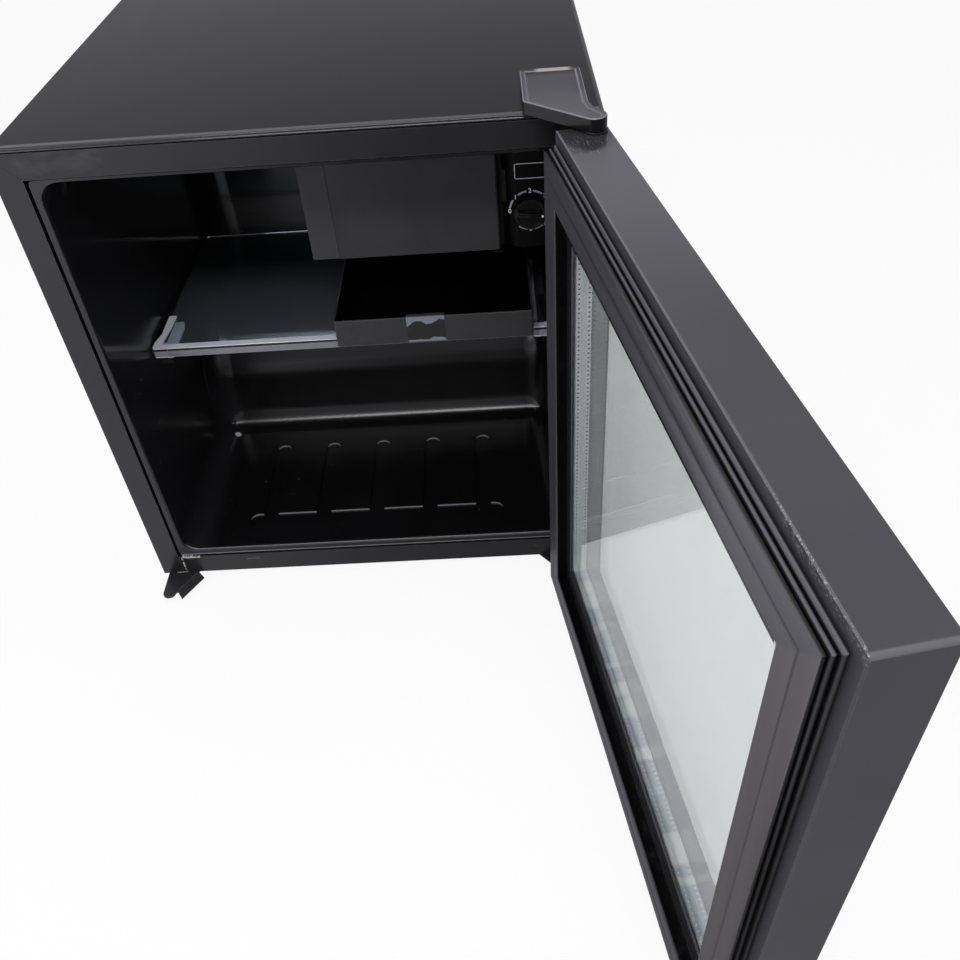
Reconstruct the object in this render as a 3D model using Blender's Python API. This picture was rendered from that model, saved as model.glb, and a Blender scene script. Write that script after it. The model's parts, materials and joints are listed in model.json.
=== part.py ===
"""Table-top beverage refrigerator with a glazed door, standing open, modelled in metres.

Cabinet frame used by every dimension: X runs to the right across the front, Y runs from the
front face to the back, Z runs up, and the corner at the bottom, left and front is zero.
"""

import math

import bmesh
import bpy
from mathutils import Matrix, Vector

# Driving dimensions of the cabinet
body_width = 0.470
body_depth = 0.400
body_height = 0.4785
foot_height = 0.0125
sheet = 0.0008
wrap_corner = 0.003
gap = 0.0003

# Front flanges and the opening in the liner
side_flange = 0.022
top_flange = 0.026
rail_height = 0.0243
groove = 0.003
opening_inset = 0.031
opening_bottom = 0.0337
opening_top = body_height - 0.030
opening_radius = 0.017
wall_draft = math.tan(math.radians(1.5))
floor_level = 0.0315
liner_wall = 0.0015
liner_corner = 0.030
back_insulation = 0.030
liner_back_round = 0.028

# Hump over the machine bay
bay_insulation = 0.033
hump_round = 0.026
hump_lean_from = 0.095
hump_top = 0.165
hump_lean = 0.060

# Drainage channels in the liner's floor
finger_pitch = 0.0592
finger_width = 0.0166
finger_from_hump = 0.047
cross_channel = (0.0345, 0.053)
channel_overhang = 0.0216
channel_depth = 0.0020

# Top panel, front edge bead and machine bay
top_thick = 0.0042
top_inset = 0.005
bay_depth = 0.151
bay_top = 0.1275
panel_sheet = 0.0010
rib_top = 0.2293
rib_inner = 0.0455
rib_front = 0.103

# Door, in its closed place in front of the cabinet
door_overhang = 0.0005
door_thick = 0.0371
door_bottom = 0.003
seal_gap = 0.012
door_open = math.radians(99.34)
sight_side = 0.055
sight_end = 0.065
hinge_from_side = 0.0117
hinge_y = -0.0385
pin_radius = 0.0035
pin_reach = 0.0165
screw_radius = 0.0021
running_clearance = 0.00008

# Shelf, tray, freezer compartment and thermostat
shelf_top = 0.2338
shelf_thick = 0.0040
shelf_front = 0.0855
shelf_rear_space = 0.052
shelf_side = 0.0408
trim_top = 0.2350
trim_bottom = 0.2245
tray_width = 0.191
tray_from_side = 0.0555
tray_front = 0.0708
tray_rear_space = 0.070
tray_height = 0.0285
tray_wall = 0.0015
flap_width = 0.171
flap_from_side = 0.0865
flap_front = 0.092
flap_height = 0.1215
flap_headroom = 0.0085
flap_thick = 0.0034
flap_pin_radius = 0.00122
grip_width = 0.0248
box_rear_space = 0.035
housing_width = 0.075
housing_back = 0.150
housing_wall = 0.0018
dial_from_side = 0.0547
dial_height = 0.0351
knob_radius = 0.0150
knob_turn = 6.0

# Compressor, feet and hinge parts
compressor_off_centre = 0.020
compressor_from_back = 0.073
shell_radius = 0.0470
shell_seam = 0.0560
shell_top = 0.1040
foot_from_side = 0.044
foot_from_front = 0.060
stud_radius = 0.0040
rear_foot_from_side = 0.048
rear_foot_from_back = 0.045
bracket_thick = 0.0020
cord_from_side = 0.078
cord_height = 0.023
cover_height = 0.0122
pad_height = 0.0022

# Places worked out from the dimensions above
wrap_top = body_height - top_thick - gap
liner_back = body_depth - back_insulation
bay_front = body_depth - bay_depth
hump_front = bay_front - bay_insulation
shelf_back = liner_back - shelf_rear_space
tray_right = body_width - tray_from_side
tray_left = tray_right - tray_width
tray_back = liner_back - tray_rear_space
flap_right = body_width - flap_from_side
flap_left = flap_right - flap_width
flap_top = opening_top - flap_headroom
flap_bottom = flap_top - flap_height
housing_left = body_width - housing_width
housing_bottom = flap_bottom + 0.001
dial_x = body_width - dial_from_side
dial_z = housing_bottom + dial_height
hinge_x = body_width - hinge_from_side
compressor_x = body_width / 2 - compressor_off_centre
compressor_y = body_depth - compressor_from_back
door_right = body_width + door_overhang
door_left = -door_overhang
door_inner_y = -seal_gap
door_outer_y = -seal_gap - door_thick


def clear_scene():
    for item in list(bpy.data.objects):
        bpy.data.objects.remove(item, do_unlink=True)
    for mesh in list(bpy.data.meshes):
        bpy.data.meshes.remove(mesh)


def empty(name, location, parent=None):
    item = bpy.data.objects.new(name, None)
    bpy.context.scene.collection.objects.link(item)
    item.location = location
    item.parent = parent
    return item


def link_mesh(name, bm, smooth=False):
    bmesh.ops.remove_doubles(bm, verts=bm.verts, dist=0.000001)
    bmesh.ops.recalc_face_normals(bm, faces=bm.faces)
    mesh = bpy.data.meshes.new(name)
    bm.to_mesh(mesh)
    bm.free()
    item = bpy.data.objects.new(name, mesh)
    bpy.context.scene.collection.objects.link(item)
    if smooth:
        shade(item, 35)
    return item


def shade(item, degrees):
    """Smooth shading, with edges sharper than the angle kept crisp."""
    mesh = item.data
    for face in mesh.polygons:
        face.use_smooth = True
    mesh.set_sharp_from_angle(angle=math.radians(degrees))


def box(name, low, high):
    bm = bmesh.new()
    bmesh.ops.create_cube(bm, size=1.0)
    size = [high[i] - low[i] for i in range(3)]
    middle = [(high[i] + low[i]) / 2 for i in range(3)]
    bmesh.ops.scale(bm, vec=size, verts=bm.verts)
    bmesh.ops.translate(bm, vec=middle, verts=bm.verts)
    return link_mesh(name, bm)


def prism(name, outline, axis, low, high, smooth=False):
    """A closed outline pushed along an axis. The outline is in the other two axes, in order."""
    bm = bmesh.new()

    def at(point, depth):
        values = list(point)
        values.insert(axis, depth)
        return bm.verts.new(values)

    first = [at(p, low) for p in outline]
    last = [at(p, high) for p in outline]
    bm.faces.new(first)
    bm.faces.new(last[::-1])
    count = len(outline)
    for i in range(count):
        j = (i + 1) % count
        bm.faces.new((first[i], last[i], last[j], first[j]))
    return link_mesh(name, bm, smooth)


def lathe(name, profile, centre, axis=2, steps=24, smooth=True):
    """A profile of (radius, height) points turned about an axis through the centre."""
    bm = bmesh.new()
    rings = []
    for radius, height in profile:
        if radius < 0.000001:
            place = [0.0, 0.0]
            place.insert(axis, height)
            rings.append([bm.verts.new(Vector(centre) + Vector(place))])
            continue
        ring = []
        for k in range(steps):
            turn = 2 * math.pi * k / steps
            place = [radius * math.cos(turn), radius * math.sin(turn)]
            place.insert(axis, height)
            ring.append(bm.verts.new(Vector(centre) + Vector(place)))
        rings.append(ring)
    closed = len(rings[0]) > 1
    pairs = list(zip(rings, rings[1:]))
    if closed:
        pairs.append((rings[-1], rings[0]))
    for low, high in pairs:
        for k in range(steps):
            m = (k + 1) % steps
            if len(low) == 1 and len(high) == 1:
                break
            if len(low) == 1:
                bm.faces.new((low[0], high[m], high[k]))
            elif len(high) == 1:
                bm.faces.new((low[k], low[m], high[0]))
            else:
                bm.faces.new((low[k], low[m], high[m], high[k]))
    return link_mesh(name, bm, smooth)


def rod(name, radius, start, end, steps=24, chamfer=0.0):
    """A round bar between two points, with a small chamfer on both ends if asked for."""
    start, end = Vector(start), Vector(end)
    length = (end - start).length
    profile = [(0.0, 0.0), (radius - chamfer, 0.0)]
    if chamfer:
        profile += [(radius, chamfer), (radius, length - chamfer)]
    profile += [(radius - chamfer, length), (0.0, length)]
    item = lathe(name, profile, (0, 0, 0), steps=steps)
    turn = Vector((0, 0, 1)).rotation_difference(end - start).to_matrix().to_4x4()
    item.data.transform(Matrix.Translation(start) @ turn)
    return item


def arc(centre, radius, start, end, steps):
    """Points on a circle from one angle to another, both in degrees and both included."""
    points = []
    for k in range(steps + 1):
        turn = math.radians(start + (end - start) * k / steps)
        points.append((centre[0] + radius * math.cos(turn), centre[1] + radius * math.sin(turn)))
    return points


def rounded(low, high, radius, steps=6):
    """Outline of a rectangle with rounded corners, anticlockwise."""
    points = []
    corners = (
        (high[0] - radius, high[1] - radius, 0),
        (low[0] + radius, high[1] - radius, 90),
        (low[0] + radius, low[1] + radius, 180),
        (high[0] - radius, low[1] + radius, 270),
    )
    for x, z, start in corners:
        points += arc((x, z), radius, start, start + 90, steps)
    return points


def loft(name, rings, smooth=True):
    """A closed skin through rings that have the same number of points, with flat ends."""
    bm = bmesh.new()
    made = [[bm.verts.new(p) for p in ring] for ring in rings]
    for low, high in zip(made, made[1:]):
        count = len(low)
        for k in range(count):
            m = (k + 1) % count
            bm.faces.new((low[k], low[m], high[m], high[k]))
    bm.faces.new(made[0][::-1])
    bm.faces.new(made[-1])
    return link_mesh(name, bm, smooth)


def tube(name, path, radius, steps=10):
    """A round tube along a path of points, with flat ends."""
    points = [Vector(p) for p in path]
    rings = []
    side = (points[1] - points[0]).orthogonal()
    for k, point in enumerate(points):
        before = points[max(k - 1, 0)]
        after = points[min(k + 1, len(points) - 1)]
        along = (after - before).normalized()
        side = (side - along * side.dot(along)).normalized()
        other = along.cross(side)
        ring = []
        for n in range(steps):
            turn = 2 * math.pi * n / steps
            ring.append(point + radius * (math.cos(turn) * side + math.sin(turn) * other))
        rings.append(ring)
    return loft(name, rings)


def bend(corners, radius, steps=4):
    """A path through corner points, with each inner corner rounded."""
    path = [Vector(corners[0])]
    for before, corner, after in zip(corners, corners[1:], corners[2:]):
        before, corner, after = Vector(before), Vector(corner), Vector(after)
        start = corner + (before - corner).normalized() * radius
        end = corner + (after - corner).normalized() * radius
        for k in range(steps + 1):
            t = k / steps
            path.append(start * (1 - t) ** 2 + corner * 2 * t * (1 - t) + end * t**2)
    path.append(Vector(corners[-1]))
    return path


def combine(item, tool, kind):
    """Union or difference with another solid, which is used up."""
    step = item.modifiers.new("combine", "BOOLEAN")
    step.operation = kind
    step.solver = "EXACT"
    step.object = tool
    depsgraph = bpy.context.evaluated_depsgraph_get()
    result = bpy.data.meshes.new_from_object(item.evaluated_get(depsgraph))
    item.modifiers.remove(step)
    old = item.data
    item.data = result
    bpy.data.meshes.remove(old)
    bpy.data.objects.remove(tool, do_unlink=True)
    return item


def cut(item, tool):
    return combine(item, tool, "DIFFERENCE")


def add(item, tool):
    return combine(item, tool, "UNION")


def soften(item, width, segments=2, degrees=40):
    """Rounds the crisp edges of a solid."""
    step = item.modifiers.new("soften", "BEVEL")
    step.width = width
    step.segments = segments
    step.limit_method = "ANGLE"
    step.angle_limit = math.radians(degrees)
    step.use_clamp_overlap = True
    depsgraph = bpy.context.evaluated_depsgraph_get()
    result = bpy.data.meshes.new_from_object(item.evaluated_get(depsgraph))
    item.modifiers.remove(step)
    old = item.data
    item.data = result
    bpy.data.meshes.remove(old)
    shade(item, 35)
    return item


def paint(item, colour, roughness, metallic=0.0, alpha=1.0):
    material = bpy.data.materials.new(item.name)
    material.use_nodes = True
    shader = material.node_tree.nodes["Principled BSDF"]
    shader.inputs["Base Color"].default_value = (*colour, 1.0)
    shader.inputs["Roughness"].default_value = roughness
    shader.inputs["Metallic"].default_value = metallic
    shader.inputs["Alpha"].default_value = alpha
    item.data.materials.clear()
    item.data.materials.append(material)
    return item


def place(item, parent, pivot=None):
    """Puts a solid modelled in the cabinet frame under a parent, with its origin on a pivot."""
    pivot = Vector(pivot or (0, 0, 0))
    item.data.transform(Matrix.Translation(-pivot))
    item.parent = parent
    item.location = pivot
    return item


black_paint = (0.016, 0.016, 0.018)
satin_black = (0.030, 0.030, 0.034)
gloss_black = (0.006, 0.006, 0.007)
copper = (0.50, 0.24, 0.12)


def wall_at(depth):
    """Distance of the liner's side wall from the cabinet's side at a depth."""
    return opening_inset + wall_draft * depth


def roof_at(depth):
    """Height of the liner's roof at a depth."""
    return opening_top - wall_draft * depth


def section(depth, inset):
    """A long bar with the liner's section at a depth, drawn in by a distance."""
    low = (wall_at(depth) + inset, floor_level + inset)
    high = (body_width - low[0], roof_at(depth) - inset)
    return prism("section", rounded(low, high, liner_corner - inset), 1, 0.0, body_depth)


def cavity(name, offset):
    """The space inside the liner, or its outer skin when the offset is the wall."""
    rings = []

    def ring(depth, inset, radius):
        low = (wall_at(depth) + inset - offset, floor_level + inset - offset)
        high = (body_width - low[0], opening_top - wall_draft * depth - inset + offset)
        outline = rounded(low, high, max(radius - inset, 0.004) + offset)
        rings.append([(x, depth + depth_shift, z) for x, z in outline])

    depth_shift = 0.0
    if offset == 0:
        outline = rounded(
            (opening_inset - 0.0012, opening_bottom - 0.0012),
            (body_width - opening_inset + 0.0012, opening_top + 0.0012),
            opening_radius + 0.0012,
        )
        rings.append([(x, -0.002, z) for x, z in outline])
        rings.append([(x, 0.0006, z) for x, z in outline])
        outline = rounded(
            (opening_inset, opening_bottom),
            (body_width - opening_inset, opening_top),
            opening_radius,
        )
        rings.append([(x, 0.0020, z) for x, z in outline])
        ring(0.006, 0.0, opening_radius + 0.001)
    else:
        ring(0.001, 0.0, opening_radius)
        ring(0.006, 0.0, opening_radius + 0.001)
    ring(0.030, 0.0, liner_corner)
    ring(liner_back - liner_back_round, 0.0, liner_corner)
    depth_shift = offset
    for degrees in (18, 36, 54, 72, 90):
        turn = math.radians(degrees)
        depth = liner_back - liner_back_round * (1 - math.sin(turn))
        ring(depth, liner_back_round * (1 - math.cos(turn)), liner_corner)
    return loft(name, rings)


def hump(name, offset):
    """The step over the machine bay, with coves where it meets the side walls and the floor."""
    wall = wall_at(hump_front)
    xs = [0.020, wall]
    xs += [wall + hump_round * t for t in (0.12, 0.3, 0.55, 0.8, 1.0)]
    xs += [0.5 * body_width]
    xs += [body_width - x for x in reversed(xs[:-1])]
    zs = [0.010, floor_level]
    zs += [floor_level + hump_round * t for t in (0.12, 0.3, 0.55, 0.8, 1.0)]
    zs += [hump_lean_from + (hump_top - hump_lean_from) * t for t in (0, 0.2, 0.4, 0.6, 0.8, 0.93, 1.0)]

    def cove(distance):
        if distance >= hump_round:
            return 0.0
        reach = hump_round - max(distance, 0.0)
        return hump_round - math.sqrt(max(hump_round**2 - reach**2, 0.0))

    def front(x, z):
        side = cove(min(x, body_width - x) - wall)
        under = cove(z - floor_level)
        lean = 0.0
        if z > hump_lean_from:
            t = (z - hump_lean_from) / (hump_top - hump_lean_from)
            lean = hump_lean * (1 - math.sqrt(max(1 - t * t, 0.0)))
        return hump_front - max(side, under) - 0.35 * min(side, under) + lean + offset

    bm = bmesh.new()
    near = [[bm.verts.new((x, front(x, z), z - offset)) for x in xs] for z in zs]
    far = [[bm.verts.new((x, body_depth + 0.05, z - offset)) for x in xs] for z in zs]
    for i in range(len(zs) - 1):
        for j in range(len(xs) - 1):
            bm.faces.new((near[i][j], near[i][j + 1], near[i + 1][j + 1], near[i + 1][j]))
            bm.faces.new((far[i][j], far[i + 1][j], far[i + 1][j + 1], far[i][j + 1]))
    for row in (0, -1):
        for j in range(len(xs) - 1):
            bm.faces.new((near[row][j], far[row][j], far[row][j + 1], near[row][j + 1]))
    for column in (0, -1):
        for i in range(len(zs) - 1):
            a, b = near[i][column], near[i + 1][column]
            c, d = far[i + 1][column], far[i][column]
            bm.faces.new((a, b, c, d))
    return link_mesh(name, bm)


def comb(name, grow, low, high):
    """Outline of the drainage channels pressed into the floor: five fingers and a cross channel."""
    half = finger_width / 2 + grow
    back = hump_front - finger_from_hump - finger_width / 2
    cross_back = cross_channel[1] + grow
    cross_front = cross_channel[0] - grow
    left = body_width / 2 - 2 * finger_pitch - channel_overhang - grow
    right = body_width - left
    corner = 0.009
    points = arc((left + corner, cross_front + corner), corner, 180, 270, 3)
    points += arc((right - corner, cross_front + corner), corner, 270, 360, 3)
    points += arc((right - corner, cross_back - corner), corner, 0, 90, 3)
    for n in (2, 1, 0, -1, -2):
        x = body_width / 2 + finger_pitch * n
        points.append((x + half, cross_back))
        points += arc((x, back), half, 0, 180, 8)
        points.append((x - half, cross_back))
    points += arc((left + corner, cross_back - corner), corner, 90, 180, 3)
    return prism(name, points, 2, low, high)


def build_wrap(root):
    corner = wrap_corner
    outer = [(0, 0), (0, wrap_top - corner)]
    outer += arc((corner, wrap_top - corner), corner, 180, 90, 4)[1:]
    outer += arc((body_width - corner, wrap_top - corner), corner, 90, 0, 4)
    outer += [(body_width, 0)]
    skin = [(body_width - sheet, 0)]
    skin += [(body_width - sheet, wrap_top - corner)]
    skin += arc((body_width - corner, wrap_top - corner), corner - sheet, 0, 90, 4)[1:]
    skin += arc((corner, wrap_top - corner), corner - sheet, 90, 180, 4)
    skin += [(sheet, 0)]
    wrap = prism("outer_wrap", outer + skin, 1, sheet / 2, body_depth)
    inner_x = side_flange
    inner_z = body_height - top_flange
    face = outer + [
        (body_width - inner_x, 0),
        (body_width - inner_x, inner_z),
        (inner_x, inner_z),
        (inner_x, 0),
    ]
    add(wrap, prism("flange", face, 1, 0, sheet))
    lip = [
        (inner_x, 0.0),
        (inner_x, inner_z),
        (body_width - inner_x, inner_z),
        (body_width - inner_x, 0.0),
        (body_width - inner_x + sheet, 0.0),
        (body_width - inner_x + sheet, inner_z + sheet),
        (inner_x - sheet, inner_z + sheet),
        (inner_x - sheet, 0.0),
    ]
    add(wrap, prism("lip", lip, 1, sheet / 2, 0.008))
    for side in (0, 1):
        start = Vector((0.0020, 0, wrap_top - 0.0020))
        end = Vector((inner_x - 0.0006, 0, inner_z + 0.0006))
        along = (end - start).normalized() * 0.00012
        across = Vector((-along.z, 0, along.x))
        points = [start - across, end - across, end + across, start + across]
        outline = [(p.x if side == 0 else body_width - p.x, p.z) for p in points]
        cut(wrap, prism("mitre", outline, 1, -0.001, 0.00045))
    paint(wrap, black_paint, 0.42)
    place(wrap, root)


def body_section(bottom):
    """Outline of what fits inside the wrapped sheet, seen from the front."""
    side = sheet + gap
    corner = wrap_corner - side
    points = [(side, bottom), (side, wrap_top - wrap_corner)]
    points += arc((wrap_corner, wrap_top - wrap_corner), corner, 180, 90, 3)[1:]
    points += arc((body_width - wrap_corner, wrap_top - wrap_corner), corner, 90, 0, 3)
    points += [(body_width - side, bottom)]
    return points


def build_cabinet_shell(root):
    build_wrap(root)
    z = body_height
    profile = [
        (0.0016, z - top_thick),
        (0.0006, z - 0.0039),
        (0.0002, z - 0.0033),
        (0.0003, z - 0.0027),
        (0.0009, z - 0.0022),
        (0.0002, z - 0.0017),
        (0.0002, z - 0.0009),
        (0.0006, z - 0.0003),
        (0.0014, z),
        (body_depth - 0.003, z),
        (body_depth - 0.002, z - 0.001),
        (body_depth - 0.002, z - top_thick),
    ]
    top = prism("top_panel", profile, 0, top_inset, body_width - top_inset)
    place(paint(top, (0.040, 0.040, 0.041), 0.38), root)

    inner = sheet + gap
    back = prism("back_panel", body_section(bay_top + 0.0015 + gap), 1, body_depth - 0.0014, body_depth - 0.0006)
    place(paint(back, (0.25, 0.25, 0.26), 0.45, 0.6), root)

    pan = box("base_pan", (inner, 0.013, 0.0), (body_width - inner, bay_front - gap, 0.0010))
    for x in (foot_from_side, body_width - foot_from_side):
        cut(pan, rod("bore", stud_radius + gap, (x, foot_from_front, -0.01), (x, foot_from_front, 0.01)))
    place(paint(pan, (0.10, 0.10, 0.11), 0.5, 0.5), root)

    profile = [
        (0.0, 0.0),
        (0.0, rail_height),
        (0.0095, rail_height),
        (0.0095, rail_height - sheet),
        (sheet, rail_height - sheet),
        (sheet, sheet),
        (0.0125, sheet),
        (0.0125, 0.0),
    ]
    left = side_flange + gap
    rail = prism("bottom_front_rail", profile, 0, left, body_width - left)
    place(paint(rail, black_paint, 0.42), root)

    foam = prism("foam_insulation", body_section(0.0010 + gap), 1, 0.0084, body_depth - 0.0014 - gap)
    cut(foam, box("rail_space", (-0.01, 0.0, -0.01), (body_width + 0.01, 0.0130, rail_height + gap)))
    space = cavity("space", liner_wall + gap)
    cut(space, hump("step", liner_wall + gap))
    cut(foam, space)
    bay_end = (body_width + 0.01, body_depth + 0.01, bay_top + panel_sheet + gap)
    cut(foam, box("bay", (-0.01, bay_front, -0.01), bay_end))
    below = floor_level - channel_depth - liner_wall - 2 * gap
    cut(foam, comb("channels", liner_wall + gap, below, floor_level))
    for x in (foot_from_side, body_width - foot_from_side):
        cut(foam, rod("bore", stud_radius + 0.001, (x, foot_from_front, -0.01), (x, foot_from_front, 0.0125)))
    place(paint(foam, (0.62, 0.52, 0.30), 0.9), root)

    bay = [
        (bay_front + gap, 0.0018),
        (bay_front + gap, bay_top + panel_sheet),
        (body_depth - 0.0016, bay_top + panel_sheet),
        (body_depth - 0.0016, bay_top + 0.0002),
        (bay_front + gap + 0.0008, bay_top + 0.0002),
        (bay_front + gap + 0.0008, 0.0018),
    ]
    panel = prism("machine_bay_panel", bay, 0, inner, body_width - inner)
    place(paint(panel, (0.16, 0.16, 0.17), 0.5, 0.6), root)


def build_liner(root):
    liner = cavity("inner_liner", liner_wall)
    cut(liner, hump("step", liner_wall))
    bottom = rail_height + 0.0027
    top = body_height - top_flange - 0.0006
    left = side_flange + groove
    low, high = (left, bottom), (body_width - left, top)
    add(liner, prism("face", rounded(low, high, 0.004, 3), 1, 0.0004, 0.0019))
    rim = prism("rim", rounded(low, high, 0.004, 3), 1, 0.0010, 0.0070)
    inside = rounded(
        (left + liner_wall, bottom + liner_wall),
        (body_width - left - liner_wall, top - liner_wall),
        0.003,
        3,
    )
    cut(rim, prism("rim_space", inside, 1, -0.01, 0.02))
    add(liner, rim)
    skin = liner_wall - 0.0004
    add(liner, comb("channel_skin", skin, floor_level - channel_depth - skin, floor_level - skin / 2))
    space = cavity("space", 0.0)
    step = hump("step", 0.0)
    cut(space, step)
    rib = [
        (rib_front, rib_top),
        (shelf_back + 0.008, rib_top),
        (shelf_back + 0.008, rib_top - 0.0093),
        (rib_front + 0.013, rib_top - 0.0093),
        (rib_front + 0.001, rib_top - 0.0243),
    ]
    for a, b in ((0.020, rib_inner), (body_width - rib_inner, body_width - 0.020)):
        cut(space, prism("rib", rib, 0, a, b))
    cut(liner, space)
    cut(liner, comb("channels", 0.0, floor_level - channel_depth, floor_level + 0.006))
    shade(liner, 30)
    place(paint(liner, gloss_black, 0.16), root)


def build_freezer(root):
    wall = 0.0012
    left, right = flap_left + 0.0045, flap_right - 0.0025
    low, high = flap_bottom + 0.005, flap_top - 0.007
    front, back = flap_front + 0.0125, liner_back - box_rear_space
    tank = box("evaporator", (left, front, low), (right, back, high))
    inside = (left + wall, front - 0.01, low + wall), (right - wall, back - wall, high - wall)
    cut(tank, box("space", *inside))
    for x in (left + 0.020, right - 0.020):
        for y in (front + 0.0255, back - 0.035):
            top = roof_at(y + 0.012) - gap
            add(tank, box("hanger", (x - 0.006, y, high - 0.0006), (x + 0.006, y + 0.012, top)))
    place(paint(tank, (0.55, 0.56, 0.58), 0.35, 0.9), root)

    outer = (flap_left + 0.002, flap_bottom + 0.0025), (flap_right + 0.0075, flap_top + 0.0005)
    y0, y1 = flap_front + flap_thick + 0.0012, front - gap
    frame = box("freezer_front_frame", (outer[0][0], y0, outer[0][1]), (outer[1][0], y1, outer[1][1]))
    hole = (left + 0.003, y0 - 0.01, low + 0.004), (right - 0.003, y1 + 0.01, high - 0.003)
    cut(frame, box("hole", *hole))
    pin_x, pin_y = flap_right + 0.0015, flap_front + 0.0022
    for edge, frame_edge, way in ((flap_bottom, outer[0][1], -1), (flap_top, outer[1][1], 1)):
        lug = [
            (pin_y - 0.0030, edge + 0.0030 * way),
            (y0 + 0.0030, edge + 0.0030 * way),
            (y0 + 0.0030, frame_edge - 0.0020 * way),
            (y0 + 0.0005, frame_edge - 0.0020 * way),
            (y0 + 0.0005, edge + 0.0006 * way),
            (pin_y - 0.0030, edge + 0.0006 * way),
        ]
        add(frame, prism("lug", lug, 0, pin_x - 0.0035, pin_x + 0.0045))
    z0, z1 = flap_bottom - 0.0030, flap_top + 0.0030
    bore = flap_pin_radius + running_clearance
    cut(frame, rod("bore", bore, (pin_x, pin_y, z0 - 0.002), (pin_x, pin_y, z1 + 0.002), 16))
    place(paint(frame, gloss_black, 0.3), root)

    pin = rod("freezer_hinge_pin", flap_pin_radius, (pin_x, pin_y, z0 + 0.0004), (pin_x, pin_y, z1 - 0.0004), 16)
    place(paint(pin, (0.6, 0.6, 0.62), 0.25, 1.0), root)

    pivot = empty("freezer_flap_axis", (pin_x, pin_y, (flap_bottom + flap_top) / 2), root)
    middle = Vector(pivot.location)
    y0, y1 = flap_front, flap_front + flap_thick
    outline = rounded((flap_left, flap_bottom), (pin_x, flap_top), 0.0012, 2)
    flap = prism("freezer_flap", outline, 1, y0, y1)
    barrel = rod("barrel", 0.0022, (pin_x, pin_y, flap_bottom), (pin_x, pin_y, flap_top), 20)
    add(flap, barrel)
    cut(flap, rod("bore", bore, (pin_x, pin_y, flap_bottom - 0.01), (pin_x, pin_y, flap_top + 0.01), 16))
    strip_edge = flap_left + grip_width
    recess = (flap_left - 0.001, y0 - 0.001, flap_bottom - 0.001)
    cut(flap, box("recess", recess, (strip_edge, y0 + 0.0010, flap_top + 0.001)))
    shade(flap, 30)
    place(paint(flap, (0.035, 0.035, 0.038), 0.12), pivot)
    flap.data.transform(Matrix.Translation(-middle))
    flap.location = (0, 0, 0)
    grip = box(
        "freezer_flap_grip",
        (flap_left, y0, flap_bottom + 0.0006),
        (strip_edge - gap, y0 + 0.0010 - gap, flap_top - 0.0006),
    )
    paint(grip, (0.055, 0.055, 0.060), 0.55)
    grip.data.transform(Matrix.Translation(-middle))
    grip.parent = pivot


def build_thermostat(root):
    bevel = 0.0075
    x0, x1 = housing_left, body_width - wall_at(housing_back) - gap
    y0, y1 = flap_front, housing_back
    housing_top = roof_at(housing_back) - gap
    outline = [(x0 + bevel, y0), (x1, y0), (x1 - 0.0012, y1), (x0, y1), (x0, y0 + bevel)]
    shell = prism("thermostat_housing", outline, 2, housing_bottom, housing_top)
    wall = housing_wall
    inner = [
        (x0 + bevel + 0.0008, y0 + wall),
        (x1 - wall - 0.0006, y0 + wall),
        (x1 - wall - 0.0016, y1 + 0.01),
        (x0 + wall, y1 + 0.01),
        (x0 + wall, y0 + bevel + 0.0008),
    ]
    space = prism("space", inner, 2, housing_bottom + wall, housing_top - wall)
    combine(space, section(housing_back, gap + wall), "INTERSECT")
    cut(shell, space)
    combine(shell, section(housing_back, gap), "INTERSECT")
    centre = (dial_x, 0, dial_z)
    cut(shell, rod("bore", 0.0036, (dial_x, y0 - 0.01, dial_z), (dial_x, y0 + 0.01, dial_z)))
    soften(shell, 0.0004, 1, 50)
    place(paint(shell, (0.020, 0.020, 0.022), 0.35), root)

    case = box(
        "thermostat_body",
        (dial_x - 0.013, y0 + wall + 0.0106, dial_z - 0.016),
        (dial_x + 0.013, y0 + wall + 0.0340, dial_z + 0.016),
    )
    cut(case, rod("bore", 0.0032, (dial_x, y0, dial_z), (dial_x, y0 + wall + 0.020, dial_z)))
    for z in (dial_z - 0.012, dial_z + 0.012):
        stud = rod("stud", 0.002, (dial_x, y0 + wall + gap, z), (dial_x, y0 + wall + 0.011, z), 12)
        add(case, stud)
    place(paint(case, (0.65, 0.65, 0.66), 0.35, 0.8), root)

    face = y0 - 0.0006
    profile = [
        (0.0, 0.0),
        (knob_radius - 0.0004, 0.0),
        (knob_radius, 0.0008),
        (knob_radius, 0.0046),
        (knob_radius - 0.0010, 0.0060),
        (knob_radius - 0.0026, 0.0060),
        (knob_radius - 0.0034, 0.0050),
        (0.0, 0.0046),
    ]
    knob = lathe("thermostat_knob", profile, (0, 0, 0), steps=36)
    knob.data.transform(Matrix.Rotation(math.radians(90), 4, "X"))
    bar = [(-0.0122, -0.0017), (0.0122, -0.0017), (0.0127, 0.0), (0.0122, 0.0017), (-0.0122, 0.0017)]
    grip = prism("grip", bar, 1, -0.0088, -0.0030)
    add(knob, grip)
    shaft = rod("shaft", 0.0030, (0, -0.002, 0), (0, 0.0220, 0), 20)
    add(knob, shaft)
    shade(knob, 35)
    paint(knob, (0.012, 0.012, 0.013), 0.28)
    knob.parent = root
    knob.location = (centre[0], face, centre[2])
    knob.rotation_euler = (0, math.radians(knob_turn), 0)


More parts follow.
